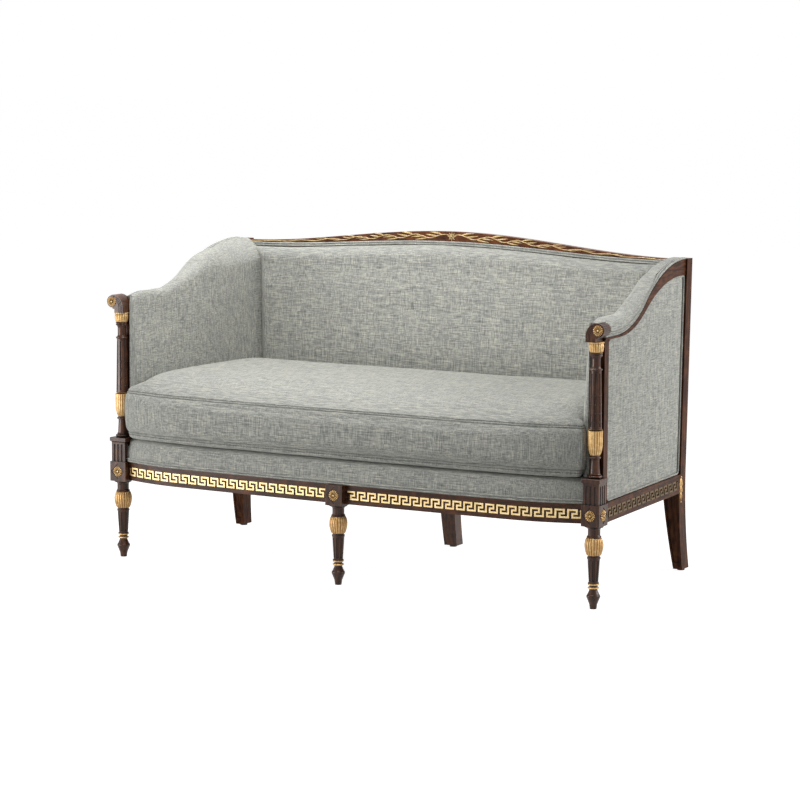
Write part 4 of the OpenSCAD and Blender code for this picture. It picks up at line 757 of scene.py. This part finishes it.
# The roll is the arm's rounded top; late values hold towards the back, front ones at the column
armLook = dict(
    ridge=38.0, roll=24.0, lateRoll=34.0, lateY=10.0, lateRun=190.0, swell=1.3, front=13.0,
    frontRun=13.5, frontDip=12.0, frontDipRun=60.0, start=5.0, columnDeep=19.4, columnIn=22.0,
    rebate=32.2,
)
# The pad thins in its middle, top and foot by a share of its thickness
backLook = dict(
    thick=48.0, swell=1.5, roll=34.0, lip=7.0, lipTop=2.0, edge=1.3, columns=120, crowd=1.12,
    midThin=0.09, midZ=520.0, midRun=200.0, topThin=0.17, topZ=690.0, lowThin=0.1, lowRun=60.0,
)


# Half width of the inside back at a height: over the arms it reaches out to their rolled tops
def backHalf(z):
    y = postFace(z) - form["gap"]
    top, t = ridgeLine(y), armT(y)
    roll = min(armLook["roll"], t - armLook["ridge"]) + armLook["lateRoll"]
    edgeX, ridgeX = innerX(y, top - roll), sideX(y, armLook["ridge"])
    if z <= top - roll:
        return innerX(y, z) - backLook["edge"]
    a = degrees(asin(min(1.0, ((z - top + roll) / roll) ** (1 / 1.5))))
    return min(ridgeX + (edgeX - ridgeX) * cosD(a) ** 1.5 - backLook["edge"], form["crestHalf"] - 1)


# Inside back: a pad that rounds over towards the welt under the crest and into the arms
def buildBack(look):
    rings, roll, lip = [], look["roll"], look["lip"]
    for k in range(look["columns"] + 1):
        s = -1 + 2 * k / look["columns"]
        s = copysign(1 - (1 - abs(s)) ** look["crowd"], s)
        top = crestLow(s * form["crestHalf"]) - 2 * form["welt"] - 1
        low = form["deckTop"] + form["gap"]
        edge = 1 - 0.34 * abs(s) ** 60 - 0.06 * abs(s) ** 10
        ring = []
        for z in spread(low, top - roll, 44):
            share = 1 - look["midThin"] * ease((z - look["midZ"]) / look["midRun"])
            share -= look["topThin"] * ease((z - look["topZ"]) / (top - roll - look["topZ"]))
            share -= look["lowThin"] * ease(1 - (z - low) / look["lowRun"])
            ring.append((z, look["thick"] * share * edge))
        end = ring[-1][1]
        ring += [(top - roll + roll * sinD(a), lip + (end - lip) * cosD(a)) for a in spread(8, 90, 10)]
        ring += [(top, look["lipTop"]), (low, look["lipTop"])]
        rings.append([(s * backHalf(z), postFace(z) - t, z) for z, t in ring])
    return addMesh("inside_back_cover", *skin(rings[::-1]), linen, sharp=50)


insideBack = buildBack(backLook)
handmade(insideBack, backLook["swell"], 140.0, 9.0)
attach(insideBack, "frame")
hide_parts("inside_back_pad")
print("back made")


# How far the front end of an arm is drawn in, so that it rounds over
def frontDraw(y):
    u = clamp((y - form["frontY"] - armLook["start"]) / armLook["frontRun"])
    return armLook["front"] * (1 - sqrt(1 - (1 - u) ** 2))


# One section of an inside arm: from its outer edge over the rolled top, down inside, and back under
def armRing(y, fullTop, fullLow):
    look, r, draw = armLook, form["welt"] / 2, frontDraw(y)
    lip, rise = byWelt(y, 1, r + 2, 1.6)
    z0 = armTop(y, rise) - draw
    dip = 0
    if draw < look["front"]:
        dip = look["frontDip"] * (1 - ease((y - form["frontY"] - look["start"]) / look["frontDipRun"]))
    z1, t = max(ridgeLine(y) - max(draw, dip), z0 + 0.4), armT(y) - draw
    inward, low = form["legX"] - look["columnIn"], form["capTop"] + form["gap"]
    bed = armTop(y, form["gap"] + 0.9) - draw
    late = ease((y - look["lateY"]) / look["lateRun"])
    roll = min(look["roll"], t - look["ridge"]) + look["lateRoll"] * late
    high, deep = [], []
    for a in spread(0, 90, 12):
        inset = lip + (look["ridge"] - lip) * (1 - cosD(a))
        high.append((sideX(y, inset), z0 + (z1 - z0) * sinD(a)))
    edgeX = innerX(y, z1 - roll) + draw
    ridgeX = sideX(y, look["ridge"])
    for a in spread(81, 0, 12):
        full = 1 + 0.5 * late
        high.append((ridgeX + (edgeX - ridgeX) * cosD(a) ** full, z1 - roll + roll * sinD(a) ** full))
    for z in spread(z1 - roll, low, 44)[1:]:
        deep.append((innerX(y, z) + draw, z))
    b3, b4 = sideX(y, look["rebate"]), sideX(y, form["sideRailT"])
    u0, u1 = byWelt(y, 1, r + 1, 1.2), byWelt(y, 1, r + 1, -r - 1)
    under = [(b4, low), (b4, (bed + low) / 2), (b4, bed - 1), (b3, bed), (sideX(y, u1[0] + 0.4), bed),
             (sideX(y, u1[0]), max(bed, armTop(y, u1[1]) - draw)),
             (sideX(y, u0[0]), armTop(y, u0[1]) - draw)]
    ring = []
    for k, (x, z) in enumerate(high + deep + under):
        isHigh = k < len(high) or k > len(high) + len(deep) + 2
        if (isHigh and not fullTop) or (not isHigh and not fullLow):
            tuck = 2.5 * (k / len(high)) if k < len(high) else 0.6 if k < len(high + deep) else 0
            x = min(x, inward - tuck)
        ring.append((x, min(y, postFace(z) - form["gap"]), z))
    return ring


# Inside arm: close sections where its front rounds over, then narrow beside the column and the stile
def buildArm(name, side):
    look, y0 = armLook, form["frontY"]
    front, roll, stile = y0 + look["start"], y0 + look["columnDeep"], y0 + form["stileDeep"]
    rings = [armRing(front + d, False, False) for d in (0, 0.2, 0.6, 1.2, 2, 3.2, 4.8, 6.6, 8.6, 10.8)]
    rings += [armRing(y, False, False) for y in spread(front + 12.4, roll - 0.3, 1)]
    rings += [armRing(y, True, False) for y in spread(roll, stile - 0.3, 4)]
    rings += [armRing(y, True, True) for y in spread(stile, postFace(form["postTop"]) - form["gap"], 74)]
    if side < 0:
        rings = mirrored(rings)[::-1]
    return addMesh(name, *skin(rings[::-1]), linen, sharp=52)


for hand, side in sides:
    arm = buildArm("inside_arm_cover_" + hand, side)
    handmade(arm, armLook["swell"], 120.0, 5.0 + side)
    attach(arm, "frame")
    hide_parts("inside_arm_" + hand)
print("arms made")

deckLook = dict(swell=0.7, roll=14.0, belly=2.4, blockHalf=21.5, capHalf=25.4, borderDeep=60.0)


# Half width of the deck at a place, clear of the blocks, plinth caps and side rails
def deckHalf(y, z):
    post = deckLook["blockHalf"] if z < form["plinthTop"] - 8 else deckLook["capHalf"]
    return min(form["legX"] - form["gap"] - post, sideX(y, form["sideRailT"]))


# Border under the cushion, which follows the bow of the rail
def buildDeck():
    half = deckHalf(form["frontY"], form["railTop"])
    z0, z1 = form["railTop"] + form["gap"], form["deckTop"]
    roll, belly = deckLook["roll"], deckLook["belly"]
    rings = []
    for s in spread(-1, 1, 150):
        f = bowY(s * half)
        profile = [(f + 1.5, z0)] + [(f - belly * sinD(180 * u) - 0.6 + belly * u, z0 + (z1 - z0 - roll) * u)
                                     for u in spread(0.03, 1, 14)]
        profile += [(f + 1.8 + roll * (1 - cosD(a)), z1 - roll + roll * sinD(a)) for a in spread(12, 90, 8)]
        rear = postFace(form["railTop"]) - 1
        profile += [(f + deckLook["borderDeep"], z1), (rear, z1), (rear, z0)]
        rings.append([(s * deckHalf(y, z), y, z) for y, z in profile])
    return addMesh("deck_cover", *skin(rings[::-1]), linen, sharp=52)


deck = buildDeck()
handmade(deck, deckLook["swell"], 90.0, 1.0)
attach(deck, "frame")
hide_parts("deck_pad")

panelLook = dict(sink=9.0, thick=7.0, crown=1.6, swell=0.5)


# Outer arm panel, stretched between rail, leg, stile and arm strip, with a slight crown
def buildPanel(name, side):
    look = panelLook
    y0, z0 = form["frontY"] + form["stileDeep"], form["railTop"] + form["gap"]
    rings = []
    for u in spread(0, 1, 60):
        ring = []
        for w in spread(0, 1, 60):
            top = armLow(y0 + (postFace(780) - 0.5 - y0) * u, form["gap"])
            z = z0 + (top - z0) * w
            y = y0 + (postFace(z) - 0.5 - y0) * u
            top = armLow(y, form["gap"])
            z = z0 + (top - z0) * w
            swell = look["crown"] * (1 - (2 * u - 1) ** 6) * (1 - (2 * w - 1) ** 6)
            ring.append((side * sideX(y, look["sink"] - swell), y, z))
        rings.append(ring)
    made = addMesh(name, *skin(rings if side < 0 else rings[::-1], closed=False), linen)
    thick = made.modifiers.new("thick", "SOLIDIFY")
    thick.thickness = look["thick"] * mm
    thick.offset = -1
    applyModifiers(made)
    return made


for hand, side in sides:
    panel = buildPanel("outside_arm_cover_" + hand, side)
    handmade(panel, panelLook["swell"], 120.0, 2.0 + side)
    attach(panel, "frame")
    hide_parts("outside_arm_" + hand)
print("panels made")

weltLook = dict(slack=0.06, step=6.0, legTopDown=62.0, armTopDown=45.0)
welt, weltGap = form["welt"], form["weltGap"]


def addWelts(name, paths, radius, node):
    smooth = [resample(path, weltLook["step"]) for path in paths]
    made = cords(name, smooth, radius, linen, weltLook["slack"])
    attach(made, "frame")
    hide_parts(node)


# Two welts over each arm, and one round each outer panel
armPaths = []
for k in (0, 1):
    ys = spread(form["frontY"] + 20, postFace(form["postTop"]) - 1, 90)
    armPaths.append([(sideX(y, byWelt(y, k)[0]), y, armTop(y, byWelt(y, k)[1])) for y in ys])
# The panel's welt runs along the rail, up the leg and back under the arm strip
r = welt / 2 - 0.3
edge = r + 0.6
y0, rearY = form["frontY"] + form["stileDeep"] + 0.6, form["postFrontY"] - edge - 1
high = form["postTop"] - weltLook["legTopDown"]
turnY = postFace(form["postTop"] - weltLook["armTopDown"]) - edge - 3
rim = [(y, form["railTop"] + edge) for y in spread(y0, rearY - 8, 30)]
rim += [(rearY - 2, form["railTop"] + edge + 2)]
rim += [(postFace(z) - edge - 1, z) for z in spread(form["railTop"] + edge + 10, high, 40)]
rim += [(y, armLow(y, edge)) for y in spread(turnY, y0, 70)]
panelPaths = [[(sideX(y, panelLook["sink"] - r - 0.2), y, z) for y, z in rim]]
addWelts("arm_cord_right", armPaths, welt / 2, "arm_welt_right")
addWelts("arm_cord_left", mirrored(armPaths), welt / 2, "arm_welt_left")
addWelts("panel_cord_right", panelPaths, r, "panel_welt_right")
addWelts("panel_cord_left", mirrored(panelPaths), r, "panel_welt_left")

# Two welts under the crest, and two along the foot of the deck
backPaths, deckPaths = [], []
half = backHalf(form["crestEndZ"] - 9) - 2
reach = form["legX"] - deckLook["blockHalf"] - 1
for k in (0, 1):
    line = [(x, crestLow(x) - welt * (k + 0.5) - k * weltGap) for x in spread(-half, half, 160)]
    backPaths.append([(x, postFace(z) - welt / 2 - 0.4, z) for x, z in line])
    z = form["railTop"] + form["gap"] + welt * (k + 0.5) + k * weltGap
    deckPaths.append([(x, bowY(x) - welt / 2 - 0.4 - 0.2 * k, z) for x in spread(-reach, reach, 160)])
addWelts("back_cord", backPaths, welt / 2, "back_welt")
addWelts("deck_cord", deckPaths, welt / 2, "deck_welt")
print("welts made")

backPanelLook = dict(sink=30.0, thick=6.0, crown=1.8, low=266.6, under=35.4, swell=0.6)


# Outside back between posts, crest and back rail
def buildOutsideBack(look):
    half = form["crestHalf"] - form["gap"]
    rings = []
    for u in spread(-1, 1, 90):
        high = crestLow(u * form["crestHalf"]) - look["under"]
        outer = []
        for w in spread(0, 1, 44):
            z = look["low"] + (high - look["low"]) * w
            swell = look["crown"] * (1 - u ** 8) * (1 - (2 * w - 1) ** 8)
            outer.append((u * half, postFace(z) + look["sink"] + swell, z))
        inner = [(u * half, postFace(z) + look["sink"] - look["thick"], z) for z in (high, look["low"])]
        rings.append(outer + inner)
    return addMesh("outside_back_cover", *skin(rings), linen, sharp=50)


outsideBack = buildOutsideBack(backPanelLook)
handmade(outsideBack, backPanelLook["swell"], 150.0, 4.0)
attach(outsideBack, "frame")
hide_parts("outside_back")
print("outside back made")

leafLook = dict(relief=3.2, rib=0.9, lobes=5.0, lobeDepth=0.16, bury=0.35)


# Carved leaf as rows of points along, across and out: domed, ribbed and lobed, curling sideways
def leafPatch(long, wide, relief, bend=0.0, lobes=None):
    look, rows = leafLook, []
    for u in spread(0, 1, 14):
        swell = sin(pi * min(1.0, u ** 0.75)) ** 0.8 if 0 < u < 1 else 0.0
        lobe = 1 - look["lobeDepth"] * (0.5 - 0.5 * cos(2 * pi * u * (lobes or look["lobes"])))
        half = wide / 2 * swell * lobe
        row = []
        for v in spread(-1, 1, 8):
            dome = (1 - v * v) * (0.45 + 0.55 * sin(pi * u))
            rib = look["rib"] * exp(-(v / 0.16) ** 2) * sin(pi * u)
            vein = 0.25 * sin(2 * pi * (u * 6 - abs(v))) * (1 - v * v) * swell
            height = relief * dome - rib * relief * 0.3 + vein * relief * 0.3 - look["bury"]
            row.append((long * u, half * v + bend * long * u * u, height))
        rows.append(row)
    return rows


# Lays patches on a face; place turns across, up and out into a point in space
def addPatches(name, patches, place, finish, node=None):
    verts, faces = [], []
    for rows, (x, z), turn in patches:
        start, n = len(verts), len(rows[0])
        for row in rows:
            for a, b, out in row:
                verts.append(Vector(place(x + a * cosD(turn) - b * sinD(turn),
                                          z + a * sinD(turn) + b * cosD(turn), out)) * mm)
        for j in range(len(rows) - 1):
            for i in range(n - 1):
                k = start + j * n + i
                faces.append((k, k + n, k + n + 1, k + 1))
    made = addMesh(name, verts, faces, finish, slot="gilt")
    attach(made, "frame")
    if node:
        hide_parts(node)
    return made


# Low round boss as a patch of rings
def bossPatch(radius, height):
    return [[(radius * cosD(a) * (w + 0.001), radius * sinD(a) * (w + 0.001),
              height * sqrt(max(0.0, 1 - w * w)) - 0.3) for a in spread(0, 360, 14)]
            for w in (0, 0.35, 0.6, 0.8, 0.93, 1.0)]


# A leaf is given by its side, most lean, lean by the room, size, bend and shift along the stem
vineLook = dict(
    step=46.0, turns=13, stem=1.25, wavy=0.4, sway=0.22, flower=13.5, petals=8, start=16.0,
    leaves=[(1, 15, 0.7, 1.0, -0.12, 0), (-1, 20, 0.9, 0.76, 0.16, 3), (1, 3, 3.0, 0.92, 0.05, 15),
            (-1, 32, 1.3, 0.40, 0.3, 24)],
)


def crestMid(x):
    return (crestTop(x) + crestLow(x)) / 2 - 0.5


def crestRoom(x):
    return crestTop(x) - crestLow(x) - 3


def vineZ(x):
    return crestMid(x) + vineLook["sway"] * crestRoom(x) * sinD(180 * abs(x) / vineLook["step"])


# Gilt vine on the crest: a stem that sways, leaves in pairs, and a flower in the middle
def buildVine(look):
    patches = []
    for side in (1, -1):
        for k in range(look["turns"]):
            x = look["start"] + (k + 0.3) * look["step"]
            if x > form["crestHalf"] - 14:
                continue
            room, up = crestRoom(x), 1 if k % 2 == 0 else -1
            long = min(look["step"] * 0.98, 14 + 1.2 * room, form["crestHalf"] - x)
            wide = max(2.6, room * 0.27)
            relief = min(leafLook["relief"], 1.0 + 0.1 * room)
            for way, most, lean, size, bend, shift in look["leaves"]:
                at = x + shift
                if at + long * size > form["crestHalf"]:
                    continue
                rows = leafPatch(long * size, wide * size, relief * (0.75 + 0.25 * size), bend * up)
                if side < 0:
                    rows = [row[::-1] for row in mirrored(rows)]
                patches.append((rows, (side * at, vineZ(at)), side * way * up * min(most, lean * room)))
    for ring, size, relief in ((0, look["flower"], 2.4), (22.5, look["flower"] * 0.72, 3.0)):
        for i in range(look["petals"]):
            patches.append((leafPatch(size, 5.4, relief, lobes=1), (0, crestMid(0)),
                            i * 360 / look["petals"] + ring))
    patches.append((bossPatch(3.2, 4.4), (0, crestMid(0)), 0))

    def place(x, z, out):
        return x, postFace(z) - out, z

    addPatches("crest_vine", patches, place, crestGilt, "crest_carving")
    stem = [(x, postFace(vineZ(x)) - 0.6, vineZ(x)) for x in spread(8, form["crestHalf"] - 4, 220)]
    stems = cords("crest_stem", [stem] + mirrored([stem]), look["stem"], crestGilt, look["wavy"],
                  "gilt")
    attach(stems, "frame")


buildVine(vineLook)

huskLook = dict(y=283.2, top=258.0, drops=3, pitch=19.0, lean=26, tipDown=50.0, endDown=67.0)


# Drops of three-leaved husks on the outer faces of the rear legs
def buildHusks(look):
    patches = []
    for k in range(look["drops"]):
        for way, relief in ((-1, 2.4), (1, 2.4), (0, 3.4)):
            leaf = leafPatch(25 - 3 * k, 8.2 - k, relief, -0.1 * way, lobes=1)
            patches.append((leaf, (look["y"], look["top"] - 2 - k * look["pitch"]), way * look["lean"] - 90))
    patches.append((leafPatch(17, 3.4, 2.0, lobes=1), (look["y"], look["top"] - look["tipDown"]), -90))
    patches.append((bossPatch(3.0, 3.0), (look["y"], look["top"]), 0))
    patches.append((bossPatch(2.4, 2.6), (look["y"], look["top"] - look["endDown"]), 0))
    for hand, side in sides[::-1]:
        def place(y, z, out):
            return side * (form["rearX"] + out), y, z
        addPatches("husks_" + hand, patches, place, gilt)
    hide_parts("husk_drops")


buildHusks(huskLook)
print("carving made")

# A turning is given by its count of reeds, their depth, the draw of its foot and the spread of its lip
reedLook = dict(
    step=1.4, across=12, bulbs=(20, 2.3, 0.0, 0.0), tulips=(18, 2.0, 0.16, 0.3),
    collars=(18, 2.0, 0.05, 0.5),
)


# Separate solids of a node, each as its points in mm
def solidsOf(node):
    mesh = nodes[node].data
    group = list(range(len(mesh.vertices)))

    def root(k):
        while group[k] != k:
            group[k] = group[group[k]]
            k = group[k]
        return k

    for edge in mesh.edges:
        a, b = root(edge.vertices[0]), root(edge.vertices[1])
        if a != b:
            group[a] = b
    same = {}
    for v in mesh.vertices:
        key = tuple(round(c, 5) for c in v.co)
        if key in same:
            group[root(v.index)] = root(same[key])
        same[key] = v.index
    found = {}
    for v in mesh.vertices:
        found.setdefault(root(v.index), []).append(v.co / mm)
    return list(found.values())


# Turned outline of a solid: its greatest radius at each height
def turnedOutline(points, axisX, axisY, step):
    far = {}
    for p in points:
        z = round(p.z, 1)
        far[z] = max(far.get(z, 0.0), hypot(p.x - axisX, p.y - axisY))
    zs = sorted(far)
    kept = [z for z in zs if far[z] > 0.6 * max(far.values())]
    n = max(8, int((kept[-1] - kept[0]) / step))
    at = np.linspace(kept[0], kept[-1], n + 1)
    return [(float(z), float(np.interp(z, kept, [far[k] for k in kept]))) for z in at]


# Convex reeds side by side, with a narrow groove between them, over a turned outline
def buildReeded(name, node, finish, turning):
    count, depth, foot, lip = turning
    across, made = reedLook["across"], []
    for points in solidsOf(node):
        xs, ys = [p.x for p in points], [p.y for p in points]
        cx, cy = (min(xs) + max(xs)) / 2, (min(ys) + max(ys)) / 2
        outline = turnedOutline(points, cx, cy, reedLook["step"])
        low, high = outline[0][0], outline[-1][0]
        tall = high - low
        outline = [(z, r * (1 - foot * ((high - z) / tall) ** 5) + lip * ((z - low) / tall) ** 6)
                   for z, r in outline]
        n = count * across
        core = min(r for z, r in outline) - depth - 3
        turns = [2 * pi * i / n for i in range(n)]
        rings = [[(cx + core * cos(a), cy + core * sin(a), low) for a in turns]]
        for k, (z, r) in enumerate(outline):
            ring = []
            ends = min(1.0, 0.35 + min(k, len(outline) - 1 - k) / 3)
            for i in range(n):
                off = 2 * (i % across) / across - 1
                groove = depth * ends * (1 - sqrt(max(0.0, 1 - off * off)) ** 0.8)
                a = 2 * pi * (i + 0.5 * across) / n
                ring.append((cx + (r - groove) * cos(a), cy + (r - groove) * sin(a), z))
            rings.append(ring)
        rings.append([(cx + core * cos(a), cy + core * sin(a), high) for a in turns])
        made.append(rings)
    reeds = addMesh(name, *skins(made), finish, slot="gilt", sharp=60)
    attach(reeds, "frame")
    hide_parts(node)


buildReeded("reeded_bulbs", "leg_bulbs", legGilt, reedLook["bulbs"])
buildReeded("reeded_tulips", "column_tulips", gilt, reedLook["tulips"])
buildReeded("reeded_collars", "column_collars", gilt, reedLook["collars"])

rosetteLook = dict(petals=16, rings=26, turns=192, relief=3.0, button=0.22, notch=0.26, ditch=0.05)


# Place across a petal at an angle: 0 on its rib, 1 between two petals
def acrossPetal(angle):
    return abs((angle / 360 * rosetteLook["petals"] % 1) * 2 - 1)


# Flower of petals round a button, as height over its disc at a share of the radius
def rosetteRelief(share, angle):
    look, across = rosetteLook, acrossPetal(angle)
    if share < look["button"]:
        return look["relief"] * (0.75 + 0.45 * sqrt(1 - (share / look["button"]) ** 2))
    ditch = exp(-((share - look["button"] - look["ditch"]) / look["ditch"]) ** 2)
    u = (share - 0.3) / 0.7
    dome = sqrt(max(0.0, 1 - (1.2 * across) ** 2)) * (0.7 + 0.3 * sin(pi * clamp(u)))
    return look["relief"] * (0.95 * dome - 0.35 * ditch)


def buildRosettes(name, node):
    look, made = rosetteLook, []
    for points in solidsOf(node):
        low = Vector([min(p[k] for p in points) for k in range(3)])
        high = Vector([max(p[k] for p in points) for k in range(3)])
        size, mid = high - low, (low + high) / 2
        k = min(range(3), key=lambda axis: size[axis])
        out = copysign(1.0, mid.x) if k == 0 else -1.0
        base = low[k] if out > 0 else high[k]
        radius = max(size) / 2
        rings = []
        for j in range(look["rings"] + 1):
            share = 1 - j / look["rings"] * 0.98
            ring = []
            for i in range(look["turns"]):
                angle = 360 * i / look["turns"]
                dent = look["notch"] * acrossPetal(angle) ** 3 * ease((share - 0.45) / 0.5)
                rim = radius * share * (1 - dent)
                height = max(0.15, rosetteRelief(share, angle)) + 0.35 if j else 0.2
                a, b = rim * cosD(angle), rim * sinD(angle)
                at = Vector((0, a, b)) if k == 0 else Vector((a, 0, b))
                at[k] = base - mid[k] + out * height
                ring.append(mid + at)
            rings.append(ring)
        made.append(rings if (out < 0) == (k == 1) else rings[::-1])
    flowers = addMesh(name, *skins(made), gilt, slot="gilt", sharp=50)
    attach(flowers, "frame")
    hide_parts(node)


buildRosettes("rosettes_blocks", "block_rosettes")
buildRosettes("rosettes_arms", "arm_rosettes")
print("gilt turnings made")

# Lengths in m, lens in mm; a lamp is given by its name, place, aim, size and power in watts
studio = dict(
    cameraAt=(3.703, -6.6416, 1.448), cameraTo=(-0.040, 0.0834, 0.437), lens=128.67, sensor=36, roll=0.21,
    ambient=0.13, floorHalf=40, floorTone=0.45, floorGlow=0.94,
    lamps=[("overhead", (-0.2, -0.38, 1.82), (0, -0.1, 0.4), (2.5, 0.7), 36.5),
           ("side", (3.1, 1.2, 1.5), (0.3, 0, 0.5), (1.8, 1.8), 84.0),
           ("front", (-2.05, -1.95, 0.32), (0, -0.2, 0.4), (1.6, 0.6), 40.0)],
)
scene = bpy.context.scene
scene.view_settings.view_transform = "Standard"

# A dim world lights the piece, and a white one is seen by the camera and in gloss
world = bpy.data.worlds.new("studio")
scene.world = world
world.use_nodes = True
world.node_tree.nodes.clear()
sky = Graph(world.node_tree)
dim = sky.node("Background", {}, {"Color": (1, 1, 1), "Strength": studio["ambient"]})
bright = sky.node("Background", {}, {"Color": (1, 1, 1), "Strength": 1.0})
sky.node("OutputWorld", {}, [sky.node("MixShader", {}, [sky.openRay(), dim, bright])])


def addLamp(name, at, to, size, power):
    data = bpy.data.lights.new(name, "AREA")
    data.shape = "RECTANGLE"
    data.size, data.size_y = size
    data.energy = power
    made = bpy.data.objects.new(name, data)
    made.location = at
    made.rotation_euler = (Vector(to) - Vector(at)).to_track_quat("-Z", "Y").to_euler()
    scene.collection.objects.link(made)


for lamp in studio["lamps"]:
    addLamp(*lamp)

wide = studio["floorHalf"]
floorMesh = bpy.data.meshes.new("floor")
floorMesh.from_pydata([(-wide, -wide, 0), (wide, -wide, 0), (wide, wide, 0), (-wide, wide, 0)], [],
                      [(0, 1, 2, 3)])
floor = bpy.data.objects.new("floor", floorMesh)
scene.collection.objects.link(floor)
ground = Shader("ground", Roughness=0.9, Specular_IOR_Level=0.0)
ground.join(ground.surface.inputs["Base Color"], (studio["floorTone"],) * 3)
plain = Field(ground, ground.surface.outputs[0])
glow = ground.node("Emission", {}, {"Color": (1, 1, 1), "Strength": studio["floorGlow"]})
lit = ground.node("AddShader", {}, [plain, glow])
ground.join(ground.tree.nodes["Material Output"].inputs[0],
            ground.node("MixShader", {}, [ground.openRay(), plain, lit]))
floorMesh.materials.append(ground.material)

camera = bpy.data.objects.new("camera", bpy.data.cameras.new("camera"))
camera.data.lens = studio["lens"]
camera.data.sensor_width = studio["sensor"]
camera.data.clip_end = 100
camera.location = studio["cameraAt"]
toward = (Vector(studio["cameraTo"]) - camera.location).to_track_quat("-Z", "Y").to_matrix()
camera.rotation_euler = (toward @ Matrix.Rotation(radians(studio["roll"]), 3, "Z")).to_euler()
scene.collection.objects.link(camera)
scene.camera = camera

print("scene made")
